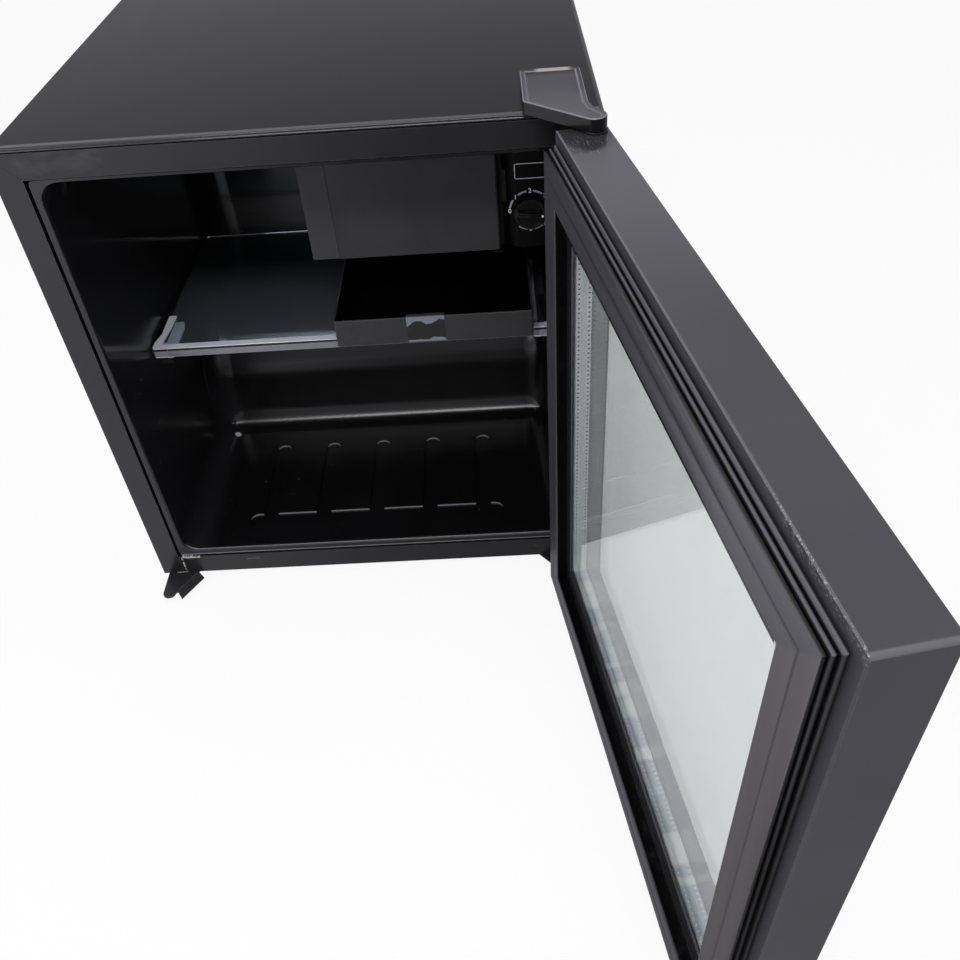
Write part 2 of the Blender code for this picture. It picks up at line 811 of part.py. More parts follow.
def build_shelf(root):
    runner = empty("shelf_slide", (body_width / 2, shelf_front, shelf_top), root)
    middle = Vector(runner.location)
    glass_front = shelf_front + 0.0030
    outline = rounded((shelf_side, glass_front), (body_width - shelf_side, shelf_back), 0.006, 4)
    glass = prism("shelf_glass", outline, 2, shelf_top - shelf_thick, shelf_top)
    paint(glass, (0.82, 0.90, 0.87), 0.05, 0.0, 0.35)

    y, top, low = shelf_front, trim_top, trim_bottom
    slot_low, slot_high = shelf_top - shelf_thick - gap, shelf_top + gap
    back = y + 0.0080
    groove_high, groove_low = top - 0.0007, top - 0.0032
    profile = [
        (back, top),
        (y + 0.0004, top),
        (y, top - 0.0004),
        (y, groove_high),
        (y + 0.0013, groove_high - 0.0003),
        (y + 0.0013, groove_low + 0.0005),
        (y, groove_low),
        (y, low + 0.0008),
        (y + 0.0008, low),
        (back, low),
        (back, low + 0.0012),
        (y + 0.0022, low + 0.0012),
        (y + 0.0022, low + 0.0030),
        (back, low + 0.0030),
        (back, slot_low),
        (glass_front - gap, slot_low),
        (glass_front - gap, slot_high),
        (back, slot_high),
    ]
    clip_in = 0.0500
    trim = prism("shelf_front_trim", profile, 0, clip_in + gap, body_width - clip_in - gap)
    paint(trim, (0.62, 0.63, 0.64), 0.35, 0.3)

    solids = [glass, trim]
    clip_out = wall_at(shelf_front) + 0.0022
    clip_corner = 0.0030
    plate_top = slot_low - 0.0001
    plate_in = rib_inner + 0.0006
    for side, name in ((0, "shelf_clip_left"), (1, "shelf_clip_right")):
        plan = arc((clip_out + clip_corner, y + clip_corner), clip_corner, 180, 270, 4)
        plan += [
            (clip_in, y),
            (clip_in, back),
            (shelf_side + 0.0030, back),
            (shelf_side + 0.0036, back + 0.0080),
            (shelf_side + 0.0056, back + 0.0280),
            (shelf_side + 0.0064, back + 0.0500),
            (shelf_side + 0.0056, back + 0.0520),
            (shelf_side - 0.0010, back + 0.0520),
            (shelf_side - 0.0016, back + 0.0510),
            (shelf_side - 0.0016, back + 0.0180),
            (clip_out, back + 0.0040),
        ]
        clip = prism(name, plan, 2, low, top)
        groove_cut = [
            (y - 0.0020, groove_high + 0.0005),
            (y + 0.0013, groove_high - 0.0003),
            (y + 0.0013, groove_low + 0.0005),
            (y - 0.0020, groove_low - 0.0008),
        ]
        cut(clip, prism("groove", groove_cut, 0, clip_out - 0.002, clip_in + 0.002))
        under_low = (clip_out - 0.01, back - 0.001, low - 0.01)
        under_high = (body_width / 2, shelf_back, shelf_top - shelf_thick - 0.0001)
        cut(clip, box("under", under_low, under_high))
        slot_near, slot_far = (shelf_side - gap, glass_front - gap), (body_width, body_depth)
        cut(clip, prism("slot", rounded(slot_near, slot_far, 0.006, 4), 2, slot_low, slot_high))
        foot = lathe(
            "foot",
            [(0.0, -0.0040), (0.0034, -0.0036), (0.0060, -0.0022), (0.0068, -gap), (0.0, -gap)],
            (clip_in + 0.0002, y + 0.0082, low),
            steps=20,
        )
        stem = (clip_in - 0.0030, y + 0.0040)
        add(foot, rod("stem", 0.0022, (*stem, low - 0.0012), (*stem, low + 0.0008), 12))
        add(clip, foot)
        plate = [
            (shelf_side, back - 0.0040),
            (clip_in - 0.0002, back - 0.0040),
            (clip_in - 0.0002, back + gap),
            (clip_in + 0.0075, back + gap),
            (clip_in + 0.0075, back + 0.0370),
            (clip_in + 0.0050, back + 0.0450),
            (plate_in, back + 0.0450),
            (plate_in, rib_front - 0.0010),
            (shelf_side, rib_front - 0.0010),
        ]
        add(clip, prism("plate", plate, 2, plate_top - 0.0022, plate_top))
        if side:
            clip.data.transform(Matrix.Translation((body_width, 0, 0)) @ Matrix.Scale(-1, 4, (1, 0, 0)))
            clip.data.flip_normals()
        shade(clip, 40)
        paint(clip, (0.88, 0.88, 0.86), 0.4)
        solids.append(clip)
    for item in solids:
        item.data.transform(Matrix.Translation(-middle))
        item.parent = runner

    runner = empty("tray_slide", (0, 0, 0), runner)
    base = trim_top + gap
    runner.location = Vector(((tray_left + tray_right) / 2, tray_front, base)) - middle
    middle = middle + Vector(runner.location)
    outline = rounded((tray_left, tray_front), (tray_right, tray_back), 0.0015, 2)
    tray = prism("drip_tray", outline, 2, base, base + tray_height)
    wall = tray_wall
    inner = rounded(
        (tray_left + wall, tray_front + wall), (tray_right - wall, tray_back - wall), 0.0008, 2
    )
    cut(tray, prism("space", inner, 2, base + wall, base + 0.1))
    for x in (tray_left + 0.020, tray_right - 0.020):
        low = (x - 0.002, tray_front + 0.0712, shelf_top + gap)
        add(tray, box("runner", low, (x + 0.002, tray_back - 0.006, base + 0.0005)))
    paint(tray, (0.014, 0.014, 0.016), 0.3)
    tray.data.transform(Matrix.Translation(-middle))
    tray.parent = runner


def frame_ring(name, profile, low, high):
    """A profile carried round a rectangle in X and Z with square corners.

    The profile is (distance in from the edge, Y). low and high are the rectangle's corners.
    """
    bm = bmesh.new()
    corners = ((0, 0), (1, 0), (1, 1), (0, 1))
    rings = []
    for right, up in corners:
        ring = []
        for inset, y in profile:
            x = high[0] - inset if right else low[0] + inset
            z = high[1] - inset if up else low[1] + inset
            ring.append(bm.verts.new((x, y, z)))
        rings.append(ring)
    for n in range(4):
        a, b = rings[n], rings[(n + 1) % 4]
        count = len(profile)
        for k in range(count):
            m = (k + 1) % count
            bm.faces.new((a[k], a[m], b[m], b[k]))
    return link_mesh(name, bm)


def raise_inner_edges(item, plan, inset):
    """Makes the top and bottom of a ring wider, so that its opening is the frame's."""
    low, high = plan
    for vert in item.data.vertices:
        if min(vert.co.z - low[1], high[1] - vert.co.z) > inset - 0.0011:
            vert.co.z += (sight_end - sight_side) * (1 if vert.co.z < body_height / 2 else -1)


def door_ring(name, profile):
    """A ring round the door's edge, with an opening of its own height."""
    plan = (door_left, door_bottom), (door_right, body_height)
    ring = frame_ring(name, profile, *plan)
    raise_inner_edges(ring, plan, sight_side)
    return ring


def build_door(root):
    axis = empty("door_hinge_axis", (hinge_x, hinge_y, 0), root)
    middle = Vector(axis.location)
    low = (door_left, door_bottom)
    high = (door_right, body_height)
    inner, outer = door_inner_y, door_outer_y
    solids = []

    bead_proud = 0.0012
    bead_seat = 0.0006
    pane = 0.0032
    rebate = 0.045
    air = 0.0117
    first = inner - bead_seat - gap
    lip = first - 2 * pane - air - 3 * gap
    soft = 0.0016
    profile = [
        (0.0010, inner),
        (rebate - 0.0050, inner),
        (rebate - 0.0050, inner - bead_seat),
        (rebate, inner - bead_seat),
        (rebate, lip),
        (sight_side, lip),
        (sight_side, lip - 0.0020),
        (0.0420, outer + 0.0006),
        (0.0412, outer),
        (soft, outer),
        (soft * 0.3, outer + soft * 0.3),
        (0.0, outer + soft),
        (0.0, inner - 0.0010),
    ]
    frame = door_ring("door_frame", profile)
    bore_top = 0.0185
    for z0, z1 in ((body_height - bore_top, body_height + 0.01), (-0.01, door_bottom + bore_top)):
        cut(frame, rod("bore", 0.0061, (hinge_x, hinge_y, z0), (hinge_x, hinge_y, z1), 24))
    shade(frame, 35)
    solids.append(paint(frame, satin_black, 0.38))

    bead_edge = rebate - 0.0050 + gap
    bead = [
        (bead_edge, inner + bead_proud - 0.0004),
        (bead_edge + 0.0004, inner + bead_proud),
        (sight_side - 0.0010, inner + bead_proud),
        (sight_side, inner + bead_proud - 0.0008),
        (sight_side, inner - bead_seat + 0.0001),
        (bead_edge, inner - bead_seat + 0.0001),
    ]
    solids.append(paint(door_ring("door_glazing_bead", bead), gloss_black, 0.25))

    edge = rebate + 0.0008
    plan = (low[0] + edge, low[1] + edge), (high[0] - edge, high[1] - edge)
    depth = first
    for name in ("door_glass_inner", "door_glass_outer"):
        glass = prism(name, rounded(*plan, 0.002, 2), 1, depth - pane, depth)
        solids.append(paint(glass, (0.80, 0.88, 0.86), 0.03, 0.0, 0.35))
        depth -= pane + air + 2 * gap
    near = first - pane - gap
    cover = sight_side - rebate + 0.0010
    bar = [(0.0020, near), (cover, near), (cover, near - air), (0.0020, near - air)]
    spacer = frame_ring("door_spacer", bar, *plan)
    raise_inner_edges(spacer, plan, cover)
    solids.append(paint(spacer, (0.66, 0.68, 0.69), 0.3, 0.9))

    r = 0.0105
    seal = [
        (r + 0.0012, inner + 0.0112),
        (r + 0.0003, inner + 0.0108),
        (r, inner + 0.0100),
        (r + 0.0003, inner + 0.0088),
        (r + 0.0024, inner + 0.0082),
        (r + 0.0024, inner + 0.0076),
        (r - 0.0004, inner + 0.0070),
        (r - 0.0010, inner + 0.0061),
        (r - 0.0004, inner + 0.0051),
        (r + 0.0024, inner + 0.0045),
        (r + 0.0024, inner + 0.0038),
        (r - 0.0016, inner + 0.0032),
        (r - 0.0024, inner + 0.0022),
        (r - 0.0016, inner + 0.0012),
        (r + 0.0020, inner + 0.0008),
        (r + 0.0020, inner + gap),
        (0.0365, inner + gap),
        (0.0370, inner + 0.0060),
        (0.0402, inner + 0.0084),
        (0.0405, inner + 0.0100),
        (0.0396, inner + 0.0110),
        (0.0380, inner + 0.0112),
        (0.0268, inner + 0.0112),
        (0.0250, inner + 0.0104),
        (0.0232, inner + 0.0112),
    ]
    solids.append(paint(frame_ring("door_gasket", seal, low, high), (0.030, 0.030, 0.033), 0.55))
    shade(solids[-1], 50)

    bush_radius = 0.0060
    for name, z, way in (("door_top_bush", body_height, 1), ("door_bottom_bush", door_bottom, -1)):
        flange = pad_height - 0.0004 if way > 0 else 0.0026
        wide = 0.0085 if way > 0 else 0.0110
        bore = pin_radius + running_clearance
        profile = [
            (bore, -0.0180),
            (bush_radius, -0.0180),
            (bush_radius, gap),
            (wide, gap),
            (wide, flange),
            (bore, flange),
        ]
        profile = [(radius, height * way) for radius, height in profile]
        bush = lathe(name, profile, (hinge_x, hinge_y, z), steps=24)
        solids.append(paint(bush, (0.012, 0.012, 0.013), 0.4))

    for item in solids:
        item.data.transform(Matrix.Translation(-middle))
        item.parent = axis
    axis.rotation_euler = (0, 0, door_open)


def build_hinges(root):
    base = body_height + gap
    pad_top = body_height + pad_height
    x0, x1 = hinge_x - 0.0478, hinge_x - 0.0048
    screw_x = hinge_x - 0.0273
    screw_y = (0.012, 0.038)
    hole = screw_radius + gap
    pad = box("hinge_pad", (x0, -0.0055, base), (x1, 0.0510, pad_top))
    for y in screw_y:
        cut(pad, rod("bore", hole, (screw_x, y, base - 0.01), (screw_x, y, pad_top + 0.01), 16))
    cut(pad, box("front", (x0 - 0.01, -0.01, base - 0.002), (x1 + 0.01, 0.0, pad_top - 0.0010)))
    place(paint(pad, (0.010, 0.010, 0.011), 0.6), root)

    plate_low, plate_high = pad_top + gap, pad_top + 0.0028
    outline = [(hinge_x - 0.0438, 0.0490), (hinge_x - 0.0438, -0.0060)]
    outline += arc((hinge_x, hinge_y), pin_radius + 0.0020, 225, 370, 6)
    outline += [(hinge_x - 0.0033, hinge_y + 0.0125), (hinge_x - 0.0055, hinge_y + 0.0235)]
    outline += [(hinge_x - 0.0083, -0.0100), (hinge_x - 0.0083, 0.0490)]
    plate = prism("top_hinge_plate", outline, 2, plate_low, plate_high)
    holes = [(hinge_x, hinge_y, pin_radius + gap)] + [(screw_x, y, hole) for y in screw_y]
    for x, y, r in holes:
        cut(plate, rod("bore", r, (x, y, plate_low - 0.01), (x, y, plate_high + 0.01), 20))
    place(paint(plate, (0.10, 0.10, 0.11), 0.4, 0.8), root)

    end = body_height - pin_reach
    pin = rod("top_hinge_pin", pin_radius, (hinge_x, hinge_y, end), (hinge_x, hinge_y, plate_high + gap), 24, 0.0004)
    head = plate_high + gap / 2
    add(pin, rod("head", 0.0048, (hinge_x, hinge_y, head + gap / 2), (hinge_x, hinge_y, head + 0.0018), 24))
    place(paint(pin, (0.5, 0.5, 0.52), 0.3, 1.0), root)

    for n, y in enumerate(screw_y):
        ends = (screw_x, y, base), (screw_x, y, plate_high + 0.0010)
        screw = rod(f"hinge_screw_{n + 1}", screw_radius, *ends, 16)
        head = [(0.0, 0.0), (0.0042, 0.0), (0.0040, 0.0009), (0.0022, 0.0016), (0.0, 0.0018)]
        add(screw, lathe("head", head, (screw_x, y, plate_high + gap), steps=16))
        place(paint(screw, (0.5, 0.5, 0.52), 0.3, 1.0), root)

    left, right, rear = hinge_x - 0.0458, hinge_x - 0.0073, 0.0535
    nose = (hinge_x - 0.0011, hinge_y + 0.0006)
    plan = arc((left, rear), 0.0040, 90, 180, 3)
    plan += arc((left, -0.0045), 0.0040, 180, 235, 2)
    plan += arc(nose, 0.0090, 233, 375, 8)
    plan += [(nose[0] + 0.0003, nose[1] + 0.0149), (nose[0] - 0.0020, nose[1] + 0.0249)]
    plan += arc((right, rear), 0.0040, 0, 90, 3)
    low, high = pad_top + gap, body_height + cover_height
    steps = ((0.0, low), (0.0, high - 0.0009), (0.0004, high - 0.0003), (0.0010, high))
    dish = ((0.0030, high - 0.0005), (0.0052, high - 0.0016))
    cover = loft("top_hinge_cover", [offset_outline(plan, inset, z) for inset, z in steps + dish])
    inside = [offset_outline(plan, 0.0016, z) for z in (low - 0.01, high - 0.0034)]
    cut(cover, loft("space", inside))
    shade(cover, 30)
    place(paint(cover, (0.045, 0.045, 0.048), 0.2), root)


def offset_outline(points, inset, z):
    """An anticlockwise outline moved inwards by a distance, at a height."""
    count = len(points)
    moved = []
    for k in range(count):
        before = Vector(points[k - 1])
        here = Vector(points[k])
        after = Vector(points[(k + 1) % count])
        first = (here - before).normalized()
        second = (after - here).normalized()
        one = Vector((-first.y, first.x))
        two = Vector((-second.y, second.x))
        middle = (one + two).normalized()
        reach = inset / max(middle.dot(one), 0.3)
        moved.append((here.x + middle.x * reach, here.y + middle.y * reach, z))
    return moved


def folded_flange(start, end, low, high):
    """A strip folded down and outwards along the front edge of a bracket's plate."""
    start, end = Vector(start), Vector(end)
    along = (end - start).normalized()
    out = Vector((along.y, -along.x))
    section = [
        (-0.0008, high - 0.0002),
        (0.0001, high - 0.0002),
        (0.0066, low - 0.0052),
        (0.0051, low - 0.0064),
        (-0.0008, low + 0.0003),
    ]
    rings = []
    for place_at, lean in ((start, -0.4), (end, 0.0)):
        ring = []
        for reach, z in section:
            at = place_at + out * reach + along * max(reach, 0.0) * lean
            ring.append((at.x, at.y, z))
        rings.append(ring)
    return loft("fold", rings, False)


def build_brackets(root):
    low, high = -gap - bracket_thick, -gap
    outline = [(0.0052, 0.0340), (0.0052, -0.0275)]
    outline += arc((0.0120, -0.0283), 0.0068, 180, 350, 8)
    outline += [(0.0375, 0.0005), (0.0450, 0.0120), (0.0450, 0.0340)]
    foot = prism("left_foot_bracket", outline, 2, low, high)
    add(foot, folded_flange((0.0205, -0.0266), (0.0375, 0.0005), low, high))
    for x, y in ((0.015, 0.022), (0.035, 0.022)):
        cut(foot, rod("bore", 0.0022, (x, y, low - 0.01), (x, y, high + 0.01), 16))
    place(paint(foot, (0.020, 0.020, 0.022), 0.45, 0.5), root)

    left, right, rear = hinge_x - 0.0465, hinge_x + 0.0072, 0.0340
    outline = [(left, rear), (left, 0.0015)]
    outline += arc((hinge_x, hinge_y), 0.0090, 225, 360, 8)
    outline += [(right, -0.0200), (right, rear)]
    arm = prism("lower_hinge_bracket", outline, 2, low, high)
    holes = ((hinge_x, hinge_y, pin_radius + gap), (left + 0.018, 0.022, 0.0022), (right - 0.0105, 0.022, 0.0022))
    for x, y, r in holes:
        cut(arm, rod("bore", r, (x, y, low - 0.01), (x, y, high + 0.01), 20))
    place(paint(arm, (0.020, 0.020, 0.022), 0.45, 0.5), root)

    pin = rod("lower_hinge_pin", pin_radius, (hinge_x, hinge_y, low - 0.0005), (hinge_x, hinge_y, door_bottom + pin_reach - 0.001), 24, 0.0004)
    add(pin, rod("head", 0.0055, (hinge_x, hinge_y, low - 0.0022), (hinge_x, hinge_y, low - gap), 24))
    place(paint(pin, (0.5, 0.5, 0.52), 0.3, 1.0), root)

    sides = (("front_foot_left", foot_from_side), ("front_foot_right", body_width - foot_from_side))
    for name, x in sides:
        profile = [
            (0.0, -foot_height),
            (0.0120, -foot_height),
            (0.0130, -foot_height + 0.0008),
            (0.0130, -foot_height + 0.0045),
            (0.0120, -foot_height + 0.0055),
            (0.0050, -foot_height + 0.0060),
            (stud_radius, -foot_height + 0.0065),
            (stud_radius, 0.0110),
            (0.0, 0.0110),
        ]
        foot = lathe(name, profile, (x, foot_from_front, 0), steps=24)
        place(paint(foot, (0.015, 0.015, 0.016), 0.5), root, (x, foot_from_front, 0))
    sides = (("rear_foot_left", rear_foot_from_side), ("rear_foot_right", body_width - rear_foot_from_side))
    for name, x in sides:
        profile = [
            (0.0, -foot_height),
            (0.0120, -foot_height),
            (0.0140, -foot_height + 0.0010),
            (0.0155, -gap),
            (0.0, -gap),
        ]
        foot = lathe(name, profile, (x, body_depth - rear_foot_from_back, 0), steps=24)
        place(paint(foot, (0.015, 0.015, 0.016), 0.5), root)


def build_machine_bay(root):
    inner = sheet + gap
    plate_front = bay_front + 0.0008 + 2 * gap
    profile = [
        (plate_front, 0.0),
        (body_depth - 0.0010, 0.0),
        (body_depth - 0.0010, 0.0120),
        (body_depth - 0.0022, 0.0120),
        (body_depth - 0.0022, 0.0012),
        (plate_front + 0.0012, 0.0012),
        (plate_front + 0.0012, 0.0080),
        (plate_front, 0.0080),
    ]
    plate = prism("compressor_plate", profile, 0, inner, body_width - inner)
    place(paint(plate, (0.12, 0.12, 0.13), 0.5, 0.6), root)

    cx, cy = compressor_x, compressor_y
    seam = shell_seam
    lower = [
        (0.0, 0.0165),
        (0.0300, 0.0170),
        (0.0420, 0.0215),
        (shell_radius - 0.0005, 0.0300),
        (shell_radius, seam - gap),
        (0.0, seam - gap),
    ]
    shell = lathe("compressor_shell_lower", lower, (cx, cy, 0), steps=28)
    mount_across, mount_along = shell_radius + 0.0010, shell_radius * 0.68
    leg_reach, leg_half = mount_across + 0.0080, 0.0080
    for y in (cy - mount_along, cy + mount_along):
        low, high = (cx - leg_reach, y - leg_half, 0.0168), (cx + leg_reach, y + leg_half, 0.0188)
        add(shell, box("leg", low, high))
    for x in (cx - mount_across, cx + mount_across):
        for y in (cy - mount_along, cy + mount_along):
            cut(shell, rod("bore", 0.0032, (x, y, 0.0), (x, y, 0.03), 12))
    place(paint(shell, (0.012, 0.012, 0.013), 0.3), root)
    upper = [
        (0.0, seam),
        (shell_radius + 0.0025, seam),
        (shell_radius + 0.0030, seam + 0.0030),
        (shell_radius + 0.0015, seam + 0.0048),
        (shell_radius + 0.0010, shell_top - 0.0220),
        (shell_radius - 0.0030, shell_top - 0.0100),
        (shell_radius - 0.0140, shell_top - 0.0030),
        (shell_radius - 0.0290, shell_top - 0.0005),
        (0.0, shell_top),
    ]
    place(paint(lathe("compressor_shell_upper", upper, (cx, cy, 0), steps=28), (0.012, 0.012, 0.013), 0.3), root)

    number = 0
    for x in (cx - mount_across, cx + mount_across):
        for y in (cy - mount_along, cy + mount_along):
            number += 1
            profile = [
                (0.0, 0.0012 + gap),
                (0.0075, 0.0012 + gap),
                (0.0080, 0.0060),
                (0.0062, 0.0085),
                (0.0078, 0.0120),
                (0.0072, 0.0168 - gap),
                (0.0029, 0.0168 - gap),
                (0.0029, 0.0192),
                (0.0, 0.0192),
            ]
            foot = lathe(f"compressor_mount_{number}", profile, (x, y, 0), steps=16)
            place(paint(foot, (0.02, 0.02, 0.02), 0.7), root)

    relay_side = cx - shell_radius - 0.0038
    relay = box("relay_cover", (relay_side - 0.0312, cy - 0.020, 0.0300), (relay_side, cy + 0.020, 0.0680))
    soften(relay, 0.003, 2)
    place(paint(relay, (0.02, 0.02, 0.021), 0.5), root)

    low, high = shell_top + gap, shell_top + 0.0170
    half_x, half_y, wall = shell_radius + 0.0080, shell_radius - 0.0020, 0.0015
    outline = rounded((cx - half_x, cy - half_y), (cx + half_x, cy + half_y), 0.010, 3)
    tray = prism("evaporation_tray", outline, 2, low, high)
    half_x, half_y = half_x - wall, half_y - wall
    outline = rounded((cx - half_x, cy - half_y), (cx + half_x, cy + half_y), 0.010 - wall, 3)
    cut(tray, prism("space", outline, 2, low + 0.0020, high + 0.1))
    place(paint(tray, (0.03, 0.03, 0.032), 0.4), root)

    drier_x, drier_y, drier_low = cx + 0.157, body_depth - 0.040, 0.0300
    drier = [
        (0.0, 0.0),
        (0.0020, 0.0),
        (0.0020, 0.0100),
        (0.0090, 0.0170),
        (0.0090, 0.0700),
        (0.0022, 0.0780),
        (0.0022, 0.0860),
        (0.0, 0.0860),
    ]
    drier = lathe("filter_drier", drier, (drier_x, drier_y, drier_low), steps=18)
    place(paint(drier, copper, 0.3, 1.0), root)

    turn_x, turn_y, level = cx + 0.095, cy - 0.027, 0.0420
    route = [
        (cx + shell_radius + gap, cy, level),
        (cx + 0.075, cy, level),
        (turn_x, turn_y, level),
        (turn_x, turn_y, bay_top - gap),
    ]
    place(paint(tube("suction_pipe", bend(route, 0.010), 0.0032), copper, 0.3, 1.0), root)
    offset, radius = 0.0110, 0.0022
    reach = math.sqrt(shell_radius**2 - (offset - radius) ** 2) + gap
    route = [
        (drier_x, drier_y, drier_low - gap),
        (drier_x, drier_y, drier_low - 0.0100),
        (drier_x - 0.032, drier_y, drier_low - 0.0180),
        (cx + 0.063, cy + offset + 0.006, drier_low + 0.0040),
        (cx + 0.053, cy + offset, drier_low + 0.0040),
        (cx + reach, cy + offset, drier_low + 0.0040),
    ]
    place(paint(tube("discharge_pipe", bend(route, 0.004), radius, 8), copper, 0.3, 1.0), root)

    gland = [
        (0.0040, -0.0070),
        (0.0080, -0.0060),
        (0.0080, -0.0020),
        (0.0062, -0.0020),
        (0.0062, 0.0020),
        (0.0085, 0.0020),
        (0.0085, 0.0035),
        (0.0040, 0.0035),
    ]
    gland = lathe("cord_gland", gland, (cord_from_side, body_depth + 0.0001, cord_height), axis=1, steps=20)
    place(paint(gland, (0.01, 0.01, 0.01), 0.5), root)
    low = (cord_from_side - 0.012, 0.0125)
    high = (cord_from_side + 0.012, cord_height + 0.013)
    tab = prism("gland_bracket", rounded(low, high, 0.003, 3), 1, body_depth - 0.0014, body_depth - 0.0002)
    ends = (cord_from_side, body_depth - 0.01, cord_height), (cord_from_side, body_depth + 0.01, cord_height)
    cut(tab, rod("bore", 0.0065, *ends, 20))
    place(paint(tab, (0.12, 0.12, 0.13), 0.5, 0.6), root)


def centre_on_floor(root):
    """Moves everything so that zero is on the floor, under the middle of the whole object."""
    bpy.context.view_layer.update()
    low, high = Vector((1e9,) * 3), Vector((-1e9,) * 3)
    for item in bpy.data.objects:
        if item.type != "MESH":
            continue
        for vert in item.data.vertices:
            at = item.matrix_world @ vert.co
            for k in range(3):
                low[k] = min(low[k], at[k])
                high[k] = max(high[k], at[k])
    root.location = (-(low.x + high.x) / 2, -(low.y + high.y) / 2, -low.z)
    bpy.context.view_layer.update()


def main():
    clear_scene()
    root = empty("cabinet_frame", (0, 0, 0))
    build_cabinet_shell(root)
    build_liner(root)
    build_freezer(root)
    build_thermostat(root)
    build_shelf(root)
    build_door(root)
    build_hinges(root)
    build_brackets(root)
    build_machine_bay(root)
    centre_on_floor(root)


main()
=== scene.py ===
import json
import math

import bmesh
import bpy
from mathutils import Euler, Matrix, Vector

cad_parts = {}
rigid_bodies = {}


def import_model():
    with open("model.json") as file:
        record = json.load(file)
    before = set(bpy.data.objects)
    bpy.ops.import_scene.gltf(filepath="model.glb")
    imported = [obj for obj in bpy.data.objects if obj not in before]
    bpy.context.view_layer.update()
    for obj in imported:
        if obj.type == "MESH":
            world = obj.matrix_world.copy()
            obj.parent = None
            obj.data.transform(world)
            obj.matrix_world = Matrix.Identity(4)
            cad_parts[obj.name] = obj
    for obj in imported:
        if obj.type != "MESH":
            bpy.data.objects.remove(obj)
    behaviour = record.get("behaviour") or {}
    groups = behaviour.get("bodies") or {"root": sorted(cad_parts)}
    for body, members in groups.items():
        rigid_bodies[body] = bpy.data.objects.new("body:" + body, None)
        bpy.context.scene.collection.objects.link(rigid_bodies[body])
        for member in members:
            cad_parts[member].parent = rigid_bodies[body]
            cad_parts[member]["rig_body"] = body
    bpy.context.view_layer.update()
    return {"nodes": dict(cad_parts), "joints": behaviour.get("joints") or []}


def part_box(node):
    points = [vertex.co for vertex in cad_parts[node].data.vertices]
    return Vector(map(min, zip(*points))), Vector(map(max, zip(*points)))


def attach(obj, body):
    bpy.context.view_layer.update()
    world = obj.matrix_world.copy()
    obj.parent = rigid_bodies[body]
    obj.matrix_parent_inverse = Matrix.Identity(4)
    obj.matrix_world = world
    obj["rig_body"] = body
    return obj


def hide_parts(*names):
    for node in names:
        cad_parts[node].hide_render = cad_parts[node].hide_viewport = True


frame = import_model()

# The cabinet's lower left front corner, the door's hinge axis, and how far the door stands open at rest.
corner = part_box("outer_wrap")[0]
hinge = Vector(next(j for j in frame["joints"] if j["name"] == "door_hinge")["pos_m"])
door_open = math.radians(99.34)

# The view of the photograph: where its camera stands, how it is turned, and its lens in millimetres.
camera_place = (0.11512, -0.64412, 0.76340)
camera_turn = (0.8243587, 0.0621797, -0.0103518)
camera_lens = 35.1255

# Cabinet measures that the details are set by, from its lower left front corner.
body_width, body_depth, body_height = 0.4700, 0.4000, 0.4785
seal_gap = 0.0120
dial_x, dial_z, dial_face = 0.4153, 0.3546, 0.0920
tray_front, tray_left, tray_right = 0.0708, 0.2235, 0.4145
tray_low, tray_high = 0.2353, 0.2638
guide_back = 0.2136
trim_low, trim_high, trim_front = 0.2245, 0.2350, 0.0855


# Finishes.

class Value:
    """One number of a finish, as a node socket. Expressions on it add maths nodes."""

    def __init__(self, finish, socket):
        self.finish = finish
        self.socket = socket

    def __add__(self, other):
        return self.finish.maths("ADD", self, other)

    def __sub__(self, other):
        return self.finish.maths("SUBTRACT", self, other)

    def __rsub__(self, other):
        return self.finish.maths("SUBTRACT", other, self)

    def __mul__(self, other):
        return self.finish.maths("MULTIPLY", self, other)

    def __truediv__(self, other):
        return self.finish.maths("DIVIDE", self, other)

    def __pow__(self, other):
        return self.finish.maths("POWER", self, other)

    def __mod__(self, other):
        return self.finish.maths("MODULO", self, other)

    def __abs__(self):
        return self.finish.maths("ABSOLUTE", self)

    __radd__ = __add__
    __rmul__ = __mul__

    def least(self, other):
        return self.finish.maths("MINIMUM", self, other)

    def most(self, other):
        return self.finish.maths("MAXIMUM", self, other)

    def ramp(self, low, high):
        """0 below low and 1 above high, smooth between them; the other way round if low is larger."""
        sockets = {"Value": self, "From Min": low, "From Max": high}
        made = self.finish.node("MapRange", {"interpolation_type": "SMOOTHSTEP"}, sockets)
        return Value(self.finish, made.outputs[0])

    def within(self, low, high, soft):
        """1 between low and high, falling to 0 over this softness outside them."""
        return self.ramp(low - soft, low) * self.ramp(high + soft, high)


class Nodes:
    """Makes the nodes of one tree."""

    def __init__(self, tree):
        self.tree = tree
        self.tree.nodes.clear()

    def node(self, kind, settings=None, sockets=None):
        made = self.tree.nodes.new("ShaderNode" + kind)
        for key, value in (settings or {}).items():
            setattr(made, key, value)
        for key, value in (sockets or {}).items():
            self.put(made.inputs[key], value)
        return made

    def put(self, socket, value):
        if isinstance(value, Value):
            value = value.socket
        if isinstance(value, bpy.types.NodeSocket):
            self.tree.links.new(value, socket)
        elif socket.type == "RGBA":
            socket.default_value = (*value[:3], 1.0)
        else:
            socket.default_value = value

    def maths(self, operation, *values):
        made = self.node("Math", {"operation": operation}, dict(enumerate(values)))
        return Value(self, made.outputs[0])

    def mix_value(self, mask, first, second):
        """The first number where the mask is 0, the second where it is 1."""
        made = self.node("Mix", {"data_type": "FLOAT"}, {0: mask, 2: first, 3: second})
        return Value(self, made.outputs[0])

    def mix(self, mask, first, second):
        """The first colour where the mask is 0, the second where it is 1."""
        made = self.node("Mix", {"data_type": "RGBA"}, {0: mask, 6: first, 7: second})
        return made.outputs[2]


